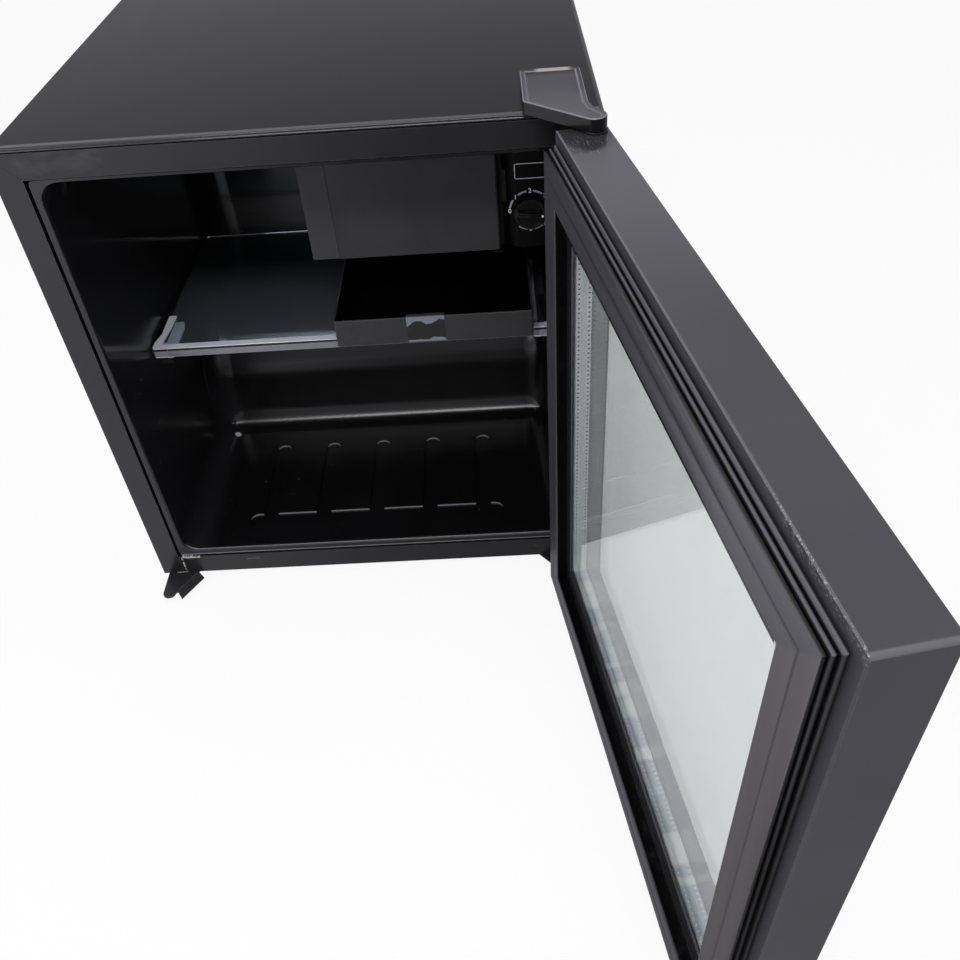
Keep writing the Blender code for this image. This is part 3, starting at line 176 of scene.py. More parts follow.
class Finish(Nodes):
    """A material being made. Its pattern reads places on the cabinet, or on the closed door."""

    def __init__(self, name, on_door=False, **constants):
        self.material = bpy.data.materials.new(name)
        self.material.use_nodes = True
        super().__init__(self.material.node_tree)
        named = {key.replace("_", " ").title(): value for key, value in constants.items()}
        for plain, right in (("Ior", "IOR"), ("Specular Ior Level", "Specular IOR Level")):
            if plain in named:
                named[right] = named.pop(plain)
        self.shader = self.node("BsdfPrincipled", {}, named)
        self.node("OutputMaterial", {}, {"Surface": self.shader.outputs[0]})
        at = self.node("TexCoord").outputs["Object"]
        if on_door:
            turn = {"Vector": at, "Location": hinge, "Rotation": (0, 0, door_open)}
            at = self.node("Mapping", {"vector_type": "TEXTURE"}, turn).outputs[0]
            shift = corner - hinge
        else:
            shift = corner
        at = self.node("VectorMath", {"operation": "SUBTRACT"}, {0: at, 1: shift}).outputs[0]
        self.place = at
        split = self.node("SeparateXYZ", {}, {0: at}).outputs
        self.x, self.y, self.z = (Value(self, socket) for socket in split)

    def stretched(self, stretch):
        return self.node("VectorMath", {"operation": "MULTIPLY"}, {0: self.place, 1: stretch}).outputs[0]

    def cloud(self, size, detail=3.0, stretch=(1, 1, 1), rough=0.5, warp=0.0):
        """A cloudy pattern, 0 to 1, with lumps of about this size in metres."""
        sockets = {"Vector": self.stretched(stretch), "Scale": 1 / size, "Detail": detail}
        sockets.update({"Roughness": rough, "Distortion": warp})
        return Value(self, self.node("TexNoise", {}, sockets).outputs[0])

    def scattered(self, size):
        """Scattered points in cells of about this size: their Distance, and a Color for each cell."""
        return self.node("TexVoronoi", {}, {"Vector": self.place, "Scale": 1 / size}).outputs

    def cells(self, size):
        """Distance to the nearest scattered point, as a share of the size of its cell."""
        return Value(self, self.scattered(size)["Distance"])

    def near(self, x, y, z, radius):
        """1 at a place on the cabinet or door, falling to 0 at this radius."""
        sockets = {0: self.place, 1: (x, y, z)}
        made = self.node("VectorMath", {"operation": "DISTANCE"}, sockets)
        return Value(self, made.outputs["Value"]).ramp(radius, radius * 0.4)

    def edges(self, radius):
        """1 on sharp edges, within about this radius of them."""
        rounded = self.node("Bevel", {"samples": 4}, {"Radius": radius}).outputs[0]
        flat = self.node("NewGeometry").outputs["Normal"]
        dot = self.node("VectorMath", {"operation": "DOT_PRODUCT"}, {0: rounded, 1: flat})
        return (1.0 - Value(self, dot.outputs["Value"])).ramp(0.02, 0.22)

    def facing(self, axis):
        """How far the surface faces along X, Y or Z, from -1 to 1, on the cabinet."""
        split = self.node("SeparateXYZ", {}, {0: self.node("NewGeometry").outputs["Normal"]})
        return Value(self, split.outputs["XYZ".index(axis)])

    def so_far(self, name):
        """What feeds this input of the shader already."""
        return self.shader.inputs[name].links[0].from_socket

    def colour(self, value):
        self.put(self.shader.inputs["Base Color"], value)

    def rough(self, value):
        self.put(self.shader.inputs["Roughness"], value)

    def relief(self, height, depth, strength=1.0):
        """A raised pattern: height from 0 to 1 stands for this depth in metres."""
        sockets = {"Height": height, "Distance": depth, "Strength": strength}
        last = self.shader.inputs["Normal"]
        if last.links:
            sockets["Normal"] = last.links[0].from_socket
        self.put(last, self.node("Bump", {}, sockets).outputs[0])


def grey(level):
    return (level, level, level)


def cool(level):
    """A dark grey with the slight violet of this plastic and paint."""
    return (level, level * 0.97, level * 1.12)


def coated(name, dark, light, gloss, grain=0.0006, depth=0.00003, on_door=False, wear=0.0, **constants):
    """Paint or moulded plastic: cloudy shade, fine grain, hairline scratches and rubbed edges."""
    made = Finish(name, on_door, **constants)
    drift = made.cloud(0.09, 4.0)
    fine = made.cloud(grain, 2.0)
    dust = made.cloud(0.0011, 2.0, rough=0.7).ramp(0.70, 0.80) * made.cloud(0.05).ramp(0.42, 0.62)
    shade = made.mix(drift.ramp(0.3, 0.7), dark, light)
    shade = made.mix(dust * 0.10, shade, (0.30, 0.29, 0.28))
    scratch = made.cloud(0.012, 5.0, (1.0, 1.0, 9.0), 0.65, 1.2).ramp(0.66, 0.72)
    rough = gloss + (drift - 0.5) * 0.12 + (fine - 0.5) * 0.06 + scratch * 0.08
    if wear:
        rubbed = made.edges(0.0012) * made.cloud(0.006, 4.0).ramp(0.35, 0.6)
        shade = made.mix(rubbed * wear, shade, grey(0.22))
        rough = rough + rubbed * 0.1
    made.colour(shade)
    made.rough(rough)
    made.relief(fine, depth)
    return made


def make_paint():
    """Black baked paint on sheet steel: faint orange peel, smears that are partly a painted highlight, chips
    at the lower left joint.
    """
    made = coated(
        "black_paint", cool(0.0070), cool(0.0105), 0.30, 0.0016, 0.000022,
        wear=0.25, specular_ior_level=0.45,
    )
    flange_low, flange_high = body_height - 0.0200, body_height - 0.0065
    scratch_z, dimple = 0.0169, (0.4070, 0.0, 0.0122)
    shade = made.so_far("Base Color")
    # Lighter cloudy smears on the front frame's top at left: partly real smears, partly a painted highlight.
    smear = made.x.within(0.024, 0.082, 0.012) * made.z.within(flange_low, flange_high, 0.005)
    smear = smear * made.cloud(0.014, 4.0, (0.5, 1, 1), 0.6, 1.0).ramp(0.40, 0.75)
    shade = made.mix(smear * 0.45, shade, cool(0.060))
    top_chips = made.x.within(0.0262, 0.0450, 0.0015) * made.z.within(0.0222, 0.0260, 0.0010)
    joint_chips = made.x.within(0.0246, 0.0260, 0.0006) * made.z.within(0.0, 0.0230, 0.0020)
    low_chips = made.x.within(0.0150, 0.0270, 0.0015) * made.z.within(-0.0040, 0.0010, 0.0008)
    zone = top_chips.most(joint_chips).most(low_chips) * made.y.ramp(0.004, 0.003)
    ragged = made.cloud(0.0040, 5.0, rough=0.75, warp=0.8)
    chips = (zone * ragged).ramp(0.43, 0.50)
    shade = made.mix(chips, shade, (0.50, 0.49, 0.46))
    along = made.x.within(0.0960, 0.1090, 0.0010) * abs(made.z - scratch_z).ramp(0.00045, 0.0001)
    shade = made.mix(along * made.y.ramp(0.001, 0.0) * 0.7, shade, grey(0.30))
    brink = made.x.ramp(body_width - 0.0016, body_width - 0.0010)
    brink = brink * made.z.ramp(body_height - 0.0021, body_height - 0.0015)
    made.colour(made.mix(brink * 0.6, shade, cool(0.260)))
    made.relief(1.0 - chips, 0.00012)
    made.relief(1.0 - made.near(*dimple, 0.0040), 0.0006)
    made.relief(made.cloud(0.055, 2.0), 0.0006, 0.35)
    return made.material


def make_top():
    """Charcoal laminate over the top: fine grain, wiped streaks and dust; its front bead is glossy."""
    made = Finish("charcoal_top", specular_ior_level=0.11, coat_roughness=0.12)
    fine = made.cloud(0.00045, 2.0)
    wiped = made.cloud(0.030, 4.0, (1.0, 0.22, 1.0), 0.6, 0.6)
    bead = made.y.ramp(0.0062, 0.0050)
    shade = made.mix(wiped.ramp(0.3, 0.75), (0.0030, 0.0030, 0.0027), (0.0050, 0.0050, 0.0046))
    shade = made.mix(bead, shade, cool(0.012))
    dust = made.cloud(0.0012, 2.0, rough=0.7).ramp(0.71, 0.80) * made.cloud(0.07).ramp(0.40, 0.65)
    made.colour(made.mix(dust * 0.10, shade, (0.32, 0.31, 0.30)))
    made.put(made.shader.inputs["Coat Weight"], bead)
    made.rough(0.24 + (wiped - 0.5) * 0.10 + (fine - 0.5) * 0.06)
    made.relief(fine, 0.00002)
    made.relief(made.cloud(0.11, 2.0), 0.0006, 0.25)
    return made.material


def make_liner():
    """Black vacuum-formed sheet: glossy, with the faint ripple that forming leaves; painted sheen and
    highlights.
    """
    made = Finish("liner_sheet", specular_ior_level=0.42)
    drift = made.cloud(0.07, 3.0)
    fine = made.cloud(0.0009, 2.0)
    floor_level, channel_front, channel_back = 0.0330, 0.045, 0.175
    glint = (0.0555, 0.1925, 0.0350)
    sill = made.z.ramp(0.042, 0.036)
    shade = made.mix(drift.ramp(0.3, 0.7), cool(0.0042), cool(0.0056))
    # Painted sheen: the left wall is lighter, standing in for the light it reflects.
    shade = made.mix(made.x.ramp(0.070, 0.045), shade, cool(0.0130))
    # Painted highlights on the rear walls of the floor channels.
    channel_glints = made.facing("Y").ramp(-0.25, -0.50) * made.z.ramp(floor_level, floor_level - 0.0012)
    channel_glints = channel_glints * made.y.within(channel_front, channel_back, 0.004)
    shade = made.mix(channel_glints * 0.8, shade, cool(0.300))
    # Painted highlight lines along the front lip of the liner.
    lip_highlight = abs(made.y - 0.0026).ramp(0.0010, 0.0006) * sill
    lip_highlight = lip_highlight.most(made.y.ramp(0.0012, 0.0008) * made.z.ramp(0.0286, 0.0280) * 0.6)
    shade = made.mix(lip_highlight * 0.8, shade, cool(0.360))
    # A painted highlight: a white glint at the hump's lower left corner.
    glint_spot = made.near(*glint, 0.0060) + made.cloud(0.0030, 3.0) - 0.5
    shade = made.mix(glint_spot.ramp(0.55, 0.75), shade, grey(0.60))
    specks = made.cells(0.014).ramp(0.055, 0.030) * made.cloud(0.03).ramp(0.55, 0.62)
    made.colour(made.mix(specks * 0.4, shade, grey(0.30)))
    rub = made.cloud(0.020, 5.0, (1.0, 1.0, 6.0), 0.65, 1.4).ramp(0.64, 0.72)
    lip = made.y.ramp(0.0080, 0.0060) * sill
    made.rough(
        0.22 + (drift - 0.5) * 0.08 + rub * 0.07 + specks * 0.2
        + lip * 0.25 - made.z.ramp(0.24, 0.30) * 0.11
    )
    made.relief(fine, 0.000012)
    made.relief(made.cloud(0.035, 2.0), 0.0004, 0.30)
    return made.material


def make_glass(name, clear, tint, rear_shade=None, on_door=False, ior=1.42):
    """Glass with a thin film of haze: clear is the share of light let through; a last tint, where given,
    darkens the rear as painted shade.
    """
    made = Finish(name, on_door, transmission_weight=clear, ior=ior)
    smear = made.cloud(0.030, 4.0, (1.0, 1.0, 0.4), 0.6, 1.0).ramp(0.50, 0.75)
    # Painted shade: where a rear tint is given, the glass darkens towards its rear.
    shade = made.mix(made.y.ramp(0.10, 0.30), tint, rear_shade) if rear_shade else tint
    made.colour(made.mix(smear * 0.5, shade, tuple(c * 0.95 for c in tint)))
    made.rough(smear * 0.025)
    made.relief(made.cloud(0.12, 1.0), 0.0003, 0.2)
    return made.material


def make_spacer():
    """Bright aluminium spacer bar with two rows of breathing holes; painted shade and painted light flares
    along its low run.
    """
    made = Finish("spacer_bar", on_door=True)
    pitch, middle = 0.0042, -seal_gap - 0.01025
    row = abs(made.y - middle) - 0.0040
    from_side = body_width / 2 - abs(made.x - body_width / 2)
    along = made.mix_value(from_side.ramp(0.0580, 0.0572), made.x, made.z)
    step = ((along / pitch) % 1.0 - 0.5) * pitch
    hole = ((row * row + step * step) ** 0.5).ramp(0.00100, 0.00065)
    drawn = made.cloud(0.0020, 3.0, (0.08, 1.0, 0.08), 0.6)
    ridge = abs(made.y - middle).ramp(0.0026, 0.0022)
    low = made.z.ramp(0.110, 0.070)
    flare = made.cloud(0.030, 2.0, (1.0, 0.3, 1.0), 0.5, 0.5).ramp(0.47, 0.60) * low
    shade = made.mix(drawn, (0.88, 0.94, 0.98), (0.97, 0.99, 1.00))
    shade = made.mix(ridge * 0.30, shade, (0.42, 0.50, 0.56))
    # Painted shade on the low run, and painted highlights where it flares.
    shade = made.mix(low * (1.0 - flare) * 0.80, shade, (0.38, 0.48, 0.56))
    shade = made.mix(flare, shade, (0.97, 0.98, 0.98))
    made.colour(made.mix(hole, shade, made.mix(low, grey(0.03), grey(0.95))))
    made.put(made.shader.inputs["Metallic"], 0.15 - flare * 0.12 - hole * low * 0.03)
    made.rough(0.30 + drawn * 0.06)
    made.relief(1.0 - hole, 0.0004)
    made.relief(ridge, 0.0004, 0.6)
    made.relief(made.cloud(0.035, 2.0), 0.0030, 0.5)
    return made.material


def make_metal(name, dark, light, rough, streak):
    """Bare metal with fine grain, drawn out where streak is uneven, and a few dull stains."""
    made = Finish(name, metallic=1.0)
    grain = made.cloud(0.0009, 4.0, streak, 0.6)
    shade = made.mix(made.cloud(0.02, 4.0).ramp(0.35, 0.65), dark, light)
    stain = made.cloud(0.035, 5.0, rough=0.7, warp=0.6).ramp(0.60, 0.78)
    made.colour(made.mix(stain * 0.35, shade, tuple(c * 0.45 for c in dark)))
    made.rough(rough + (grain - 0.5) * 0.18 + stain * 0.12)
    made.relief(grain, 0.00003)
    return made.material


def make_galvanised():
    """Zinc-coated sheet with its crystal spangle."""
    made = Finish("galvanised_sheet", metallic=0.85)
    crystals = made.node("SeparateColor", {}, {0: made.scattered(0.011)["Color"]}).outputs
    spangle = Value(made, crystals[0])
    feather = made.cloud(0.0016, 3.0, (1, 1, 4))
    shade = made.mix(spangle * 0.7 + feather * 0.3, (0.34, 0.35, 0.36), (0.56, 0.57, 0.58))
    stain = made.cloud(0.06, 5.0, rough=0.7).ramp(0.56, 0.74)
    made.colour(made.mix(stain * 0.4, shade, (0.24, 0.235, 0.23)))
    made.rough(0.42 + spangle * 0.16 - feather * 0.08)
    made.relief(spangle, 0.00004)
    return made.material


def make_door_shell():
    """Satin charcoal door plastic, polished and scratched by the hinge nose; a painted dark reflection of
    the nose and painted highlights on its top.
    """
    made = coated("door_shell", cool(0.0560), cool(0.0640), 0.36, 0.0007, 0.00002, on_door=True, wear=0.45)
    shade = made.so_far("Base Color")
    rough = made.so_far("Roughness")
    under_nose, scratches = (0.4530, -0.0230, body_height), (0.4380, -0.0240, body_height)
    top = made.z.ramp(body_height - 0.0012, body_height - 0.0004)
    ragged = made.cloud(0.010, 4.0, rough=0.65, warp=0.8)
    # Painted reflection: a dark patch of the hinge nose, on the part of the top it polishes.
    patch = made.near(*under_nose, 0.040) + (ragged - 0.5) * 0.6
    patch = patch.ramp(0.25, 0.85) * top
    lines = made.cloud(0.0026, 5.0, (0.35, 2.2, 1.0), 0.7, 1.0).ramp(0.57, 0.64)
    rub = top * lines * made.near(*scratches, 0.026)
    # Painted sheen: the top grows lighter towards the hinge.
    shade = made.mix(made.x.ramp(0.18, 0.40) * top, shade, cool(0.1050))
    shade = made.mix(patch * 0.75, shade, cool(0.0160))
    shade = made.mix(rub * 0.50, shade, (0.34, 0.34, 0.38))
    # Painted highlight along the eased top edges and rounded corners.
    level = made.facing("Z")
    eased = level.ramp(0.15, 0.40) * level.ramp(0.97, 0.88)
    eased = eased * made.z.ramp(body_height - 0.0070, body_height - 0.0050)
    shade = made.mix(eased * 0.6, shade, cool(0.180))
    worn = abs(made.y + seal_gap + 0.0004).ramp(0.0005, 0.0003) * made.x.ramp(0.110, 0.060)
    worn = worn * made.cloud(0.0018, 4.0, rough=0.7).ramp(0.52, 0.62)
    worn = worn * made.z.ramp(body_height - 0.0085, body_height - 0.0025)
    made.colour(made.mix(worn * 0.7, shade, (0.50, 0.48, 0.47)))
    made.rough(made.mix_value(patch, rough, 0.16))
    return made.material


def rubbery(name, dark, light, rough, on_door=False):
    """Matt rubber or soft foam, and a mask of the places where it has bloomed."""
    made = Finish(name, on_door)
    fine = made.cloud(0.0008, 3.0)
    bloom = made.cloud(0.012, 5.0, rough=0.7).ramp(0.55, 0.8)
    made.colour(made.mix(made.cloud(0.05, 4.0).ramp(0.3, 0.7), dark, light))
    made.rough(rough + (fine - 0.5) * 0.12 + bloom * 0.08)
    made.relief(fine, 0.00003)
    return made, bloom


def make_rubber(name, dark, light, rough):
    """Matt rubber or soft foam with a pale bloom in places."""
    made, bloom = rubbery(name, dark, light, rough)
    made.colour(made.mix(bloom * 0.14, made.so_far("Base Color"), (0.16, 0.16, 0.17)))
    return made.material


def make_gasket():
    """Ribbed magnetic seal: painted shade between the ribs of its outer side, painted highlights on their
    tips.
    """
    made, bloom = rubbery("gasket_rubber", cool(0.0130), cool(0.0180), 0.36, on_door=True)
    side = (made.x + 0.0005).least(body_width + 0.0005 - made.x)
    end = (made.z - 0.0030).least(body_height - made.z)
    from_edge = side.least(end)
    # Masks for painted shade in the valleys and painted highlights on the rib tips.
    valley_shade = from_edge.ramp(0.0103, 0.0124) * made.y.ramp(-0.0014, -0.0024)
    tip_highlight = from_edge.ramp(0.0106, 0.0098) * made.z.ramp(0.440, 0.466)
    face = made.y.ramp(-0.0020, -0.0010)
    side_run = (end - side).ramp(0.0, 0.0010)
    stile = side_run * made.x.ramp(0.10, 0.05)
    # Painted shade on the ribs of the free stile.
    shade = made.mix(stile * from_edge.ramp(0.0128, 0.0120), made.so_far("Base Color"), cool(0.0040))
    # The flat face is a lighter grey; on the free stile it is warmer, a painted reflection.
    shade = made.mix(face, shade, made.mix(stile, cool(0.0600), (0.0800, 0.0710, 0.0750)))
    shade = made.mix(tip_highlight * (1.0 - stile) * 0.75, shade, cool(0.150))
    shade = made.mix(valley_shade, shade, grey(0.0015))
    # Painted highlight on the hinge-side flank, with painted shade in its fold.
    flank_highlight = made.x.ramp(body_width - 0.0270, body_width - 0.0255)
    flank_highlight = flank_highlight * made.y.ramp(-0.0020, -0.0030) * side_run
    fold_shade = abs(made.x - (body_width - 0.0180)).ramp(0.0018, 0.0008)
    shade = made.mix(flank_highlight * (1.0 - fold_shade * 0.5), shade, cool(0.0900))
    made.colour(made.mix(bloom * 0.10, shade, (0.16, 0.16, 0.17)))
    return made.material


def make_bead():
    """Glossy black strip that holds the glass, chipped white at its upper free corner."""
    made = coated("bead_plastic", cool(0.016), cool(0.022), 0.24, 0.0008, 0.000012, on_door=True, wear=0.3)
    shade = made.so_far("Base Color")
    free_corner = (0.0535, -0.0115, 0.4160)
    chip = made.near(*free_corner, 0.0042) + (made.cloud(0.0018, 4.0, rough=0.7) - 0.5) * 0.9
    made.colour(made.mix(chip.ramp(0.62, 0.72), shade, grey(0.70)))
    return made.material


def make_cover():
    """Glossy hinge cover, near black on its sides: painted sheen and shade on its dished top, a painted
    shadow and painted highlights at its rims.
    """
    made = coated(
        "cover_plastic", cool(0.0050), cool(0.0070), 0.16, 0.0010, 0.00001, specular_ior_level=0.22,
    )
    shade = made.so_far("Base Color")
    level = made.facing("Z")
    up = level.ramp(0.60, 0.92)
    # Painted sheen on the dished top, lighter to the front, with painted shade towards the neck.
    top_sheen_and_shade = made.mix(made.y.ramp(-0.030, 0.040), cool(0.0900), cool(0.0420))
    top_sheen_and_shade = made.mix(made.x.ramp(0.4400, 0.4540) * made.y.ramp(0.0, 0.020) * 0.6, top_sheen_and_shade, cool(0.0160))
    # A painted shadow under the rear rim.
    shadow = made.y.within(0.0470, 0.0525, 0.0020) * made.x.within(0.4160, 0.4500, 0.0080)
    shade = made.mix(up, shade, made.mix(shadow * 0.8, top_sheen_and_shade, cool(0.0050)))
    cover_top = 0.4907
    # Painted highlight round the rim of the top.
    rim_highlight = level.ramp(0.20, 0.40) * level.ramp(0.96, 0.88)
    rim_highlight = rim_highlight * made.z.ramp(cover_top - 0.0014, cover_top - 0.0010)
    shade = made.mix(rim_highlight * 0.7, shade, cool(0.300))
    # A painted highlight: a pale crescent at the rear rim.
    crescent_highlight = made.x.within(0.4240, 0.4440, 0.0060) * made.y.within(0.0536, 0.0560, 0.0012)
    crescent_highlight = crescent_highlight * up.most(0.4)
    made.colour(made.mix(crescent_highlight * 0.8, shade, (0.50, 0.45, 0.42)))
    return made.material


def make_foam():
    """Yellow insulation foam with open pores; its edge behind the front frame is near black, painted shade
    of the gap.
    """
    made = Finish("foam")
    pores = made.cells(0.0012)
    shade = made.mix(made.cloud(0.02, 4.0), (0.72, 0.55, 0.24), (0.84, 0.72, 0.42))
    shade = made.mix(pores.ramp(0.5, 0.1) * 0.3, shade, (0.45, 0.32, 0.12))
    # Painted shade: the front edge, in the gap behind the front frame, is near black.
    made.colour(made.mix(made.y.ramp(0.0150, 0.0125), shade, grey(0.004)))
    made.rough(0.9 + made.cloud(0.004) * 0.08)
    made.relief(pores, 0.0005)
    return made.material


def make_flap():
    """Smoked plastic flap: an even sheen with a faint haze."""
    made = Finish("smoked_flap")
    haze = made.cloud(0.05, 4.0, (1, 1, 0.5), 0.6, 0.8)
    shade = made.mix(haze.ramp(0.3, 0.75), cool(0.0230), cool(0.0300))
    smear = made.cloud(0.035, 3.0, (1, 1, 0.5), 0.5, 0.4).ramp(0.45, 0.80)
    made.colour(made.mix(smear * 0.04, shade, cool(0.040)))
    made.rough(0.20 + haze * 0.05 + smear * 0.02)
    made.relief(made.cloud(0.06, 2.0), 0.0004, 0.5)
    made.relief(made.cloud(0.0008, 2.0), 0.00001)
    return made.material


def banded(made, pale, dull):
    """Colours of the shelf's edge: pale on top, painted shade in a dark groove and on a duller face, a
    painted highlight on its lower edge.
    """
    # Painted shade: the duller face, which reaches down to the lower edge under the drip tray; elsewhere
    # that edge stays pale, a painted highlight.
    shaded = made.x.within(tray_left, tray_right, 0.0010)
    face = made.z.ramp(trim_low + 0.0004, trim_low + 0.0011).most(shaded)
    face = face * made.z.ramp(trim_high - 0.0004, trim_high - 0.0007)
    face = face * made.y.ramp(trim_front + 0.0011, trim_front + 0.0007)
    # Painted shade in the groove.
    groove_shade = made.z.within(trim_high - 0.0030, trim_high - 0.0008, 0.0002)
    groove_shade = groove_shade * made.y.ramp(trim_front + 0.0017, trim_front + 0.0013)
    return made.mix(groove_shade, made.mix(face, pale, dull), grey(0.012))


def make_clip():
    """Milky plastic of the shelf's corner clips, with painted shade on their front and on the right clip's
    side arm.
    """
    made = Finish("milky_plastic")
    drift = made.cloud(0.015, 4.0)
    shade = made.mix(drift, (0.80, 0.81, 0.92), (0.90, 0.91, 0.98))
    grime = made.cloud(0.004, 5.0, rough=0.7).ramp(0.58, 0.75)
    shade = made.mix(grime * 0.15, shade, (0.40, 0.39, 0.38))
    # Painted shade: the right clip's side arm is near black.
    shaded_arm = made.x.ramp(0.4192, 0.4198) * made.y.ramp(0.0940, 0.0946)
    made.colour(made.mix(shaded_arm, banded(made, shade, (0.26, 0.26, 0.29)), grey(0.012)))
    made.rough(0.30 + drift * 0.15)
    made.relief(made.cloud(0.0010, 2.0), 0.00002)
    return made.material


def make_trim():
    """Extruded strip along the shelf's front, with fine drawn lines and painted shade on its face."""
    made = Finish("grey_trim")
    lines = made.cloud(0.0006, 3.0, (0.02, 1, 1), 0.6)
    pale = made.mix(lines, (0.72, 0.73, 0.84), (0.88, 0.89, 0.98))
    # The dull tones are the painted shade of the strip's face.
    dull = made.mix(lines, (0.15, 0.15, 0.175), (0.25, 0.25, 0.285))
    dull = made.mix(made.cloud(0.02, 4.0).ramp(0.55, 0.8) * 0.3, dull, (0.16, 0.16, 0.17))
    made.colour(banded(made, pale, dull))
    made.rough(0.28 + (lines - 0.5) * 0.2)
    made.relief(lines, 0.00003)
    return made.material


def make_tray():
    """Drip tray: dark grey on its front, near black inside as painted shade, with a painted highlight on its
    rim.
    """
    made = coated("tray_plastic", cool(0.0240), cool(0.0300), 0.28, 0.0009, 0.00002, wear=0.45)
    shade = made.so_far("Base Color")
    # Painted shade: the inside of the tray is near black.
    inside_shade = made.y.ramp(tray_front + 0.0012, tray_front + 0.0022)
    inside_shade = inside_shade * made.z.ramp(tray_high, tray_high - 0.0006)
    # Painted highlight along the rim.
    rim_highlight = made.z.ramp(tray_high - 0.0006, tray_high - 0.0003)
    rim_highlight = rim_highlight * made.y.ramp(tray_front + 0.003, tray_front + 0.002)
    shade = made.mix(rim_highlight * 0.5, shade, cool(0.110))
    made.colour(made.mix(inside_shade, shade, grey(0.0006)))
    return made.material


def make_guide():
    """The strip beside the drip tray: light grey with a painted highlight at its rear end."""
    made = coated("guide_plastic", cool(0.400), cool(0.480), 0.40, 0.0008, 0.00002)
    shade = made.so_far("Base Color")
    # Painted highlight: the rear end is pale.
    made.colour(made.mix(made.y.ramp(guide_back, guide_back + 0.0006), shade, grey(0.80)))
    return made.material


def make_foot():
    """Black pad below, bright threaded stud above."""
    made = Finish("foot_pad")
    stud = made.z.ramp(-0.0062, -0.0058)
    fine = made.cloud(0.0008, 3.0)
    made.colour(made.mix(stud, made.mix(fine, grey(0.010), grey(0.016)), (0.55, 0.55, 0.56)))
    made.put(made.shader.inputs["Metallic"], stud)
    made.rough(0.5 - stud * 0.2 + fine * 0.1)
    thread_pitch = 0.00125
    thread = abs((made.z / thread_pitch) % 1.0 - 0.5) * 2.0
    made.relief(thread * stud + fine * (1.0 - stud) * 0.05, 0.0005)
    return made.material


def make_tape():
    """Clear packing tape: bluish where air lies under it, nearly clear where it sticks."""
    made = Finish("clear_tape", ior=1.45)
    edge = made.cloud(0.012)
    wave = (edge - 0.5) * 0.020
    corner_dip = made.x.ramp(0.3020, 0.2940) * 0.0060
    loose = (made.z + wave + corner_dip).ramp(tray_high - 0.0058, tray_high - 0.0052)
    hump = made.x.within(0.3180, 0.3260, 0.0060) * 0.0022
    loose = loose.most((made.z + wave * 0.25 - hump).ramp(tray_low + 0.0033, tray_low + 0.0028))
    over = made.y.ramp(tray_front + 0.0004, tray_front + 0.0008)
    loose = made.mix_value(over, loose, 0.22 + edge * 0.3)
    specks = made.cells(0.006).ramp(0.06, 0.03) * (1.0 - loose)
    shade = made.mix(loose, (0.045, 0.042, 0.040), (0.22, 0.235, 0.280))
    made.colour(made.mix(specks, shade, grey(0.45)))
    made.rough(0.20 + edge * 0.15)
    made.put(made.shader.inputs["Alpha"], loose * 0.62 + 0.26)
    made.relief(loose, 0.0001)
    return made.material


def make_ink(name, tone):
    """Ink printed on the control box, thin in places."""
    made = Finish(name)
    wear = made.cloud(0.0007, 3.0)
    made.colour(made.mix(wear.ramp(0.45, 0.75), tone, tuple(0.7 * c for c in tone)))
    made.rough(0.5 + wear * 0.15)
    return made.material


def make_frost_metal():
    """Rolled aluminium of the freezer box, with its raised coolant channels and old frost stains."""
    made = Finish("freezer_aluminium", metallic=0.9)
    grain = made.cloud(0.0008, 3.0, (1, 0.06, 1), 0.6)
    stain = made.cloud(0.03, 5.0, rough=0.7, warp=0.5).ramp(0.5, 0.75)
    shade = made.mix(grain, (0.52, 0.53, 0.54), (0.66, 0.67, 0.68))
    made.colour(made.mix(stain * 0.3, shade, (0.36, 0.37, 0.38)))
    made.rough(0.32 + grain * 0.12 + stain * 0.14)
    channel_pitch = 0.044
    lane = abs((made.y / channel_pitch) % 1.0 - 0.5) * 2.0
    made.relief(lane.ramp(0.18, 0.02), 0.0016)
    made.relief(grain, 0.00003)
    return made.material


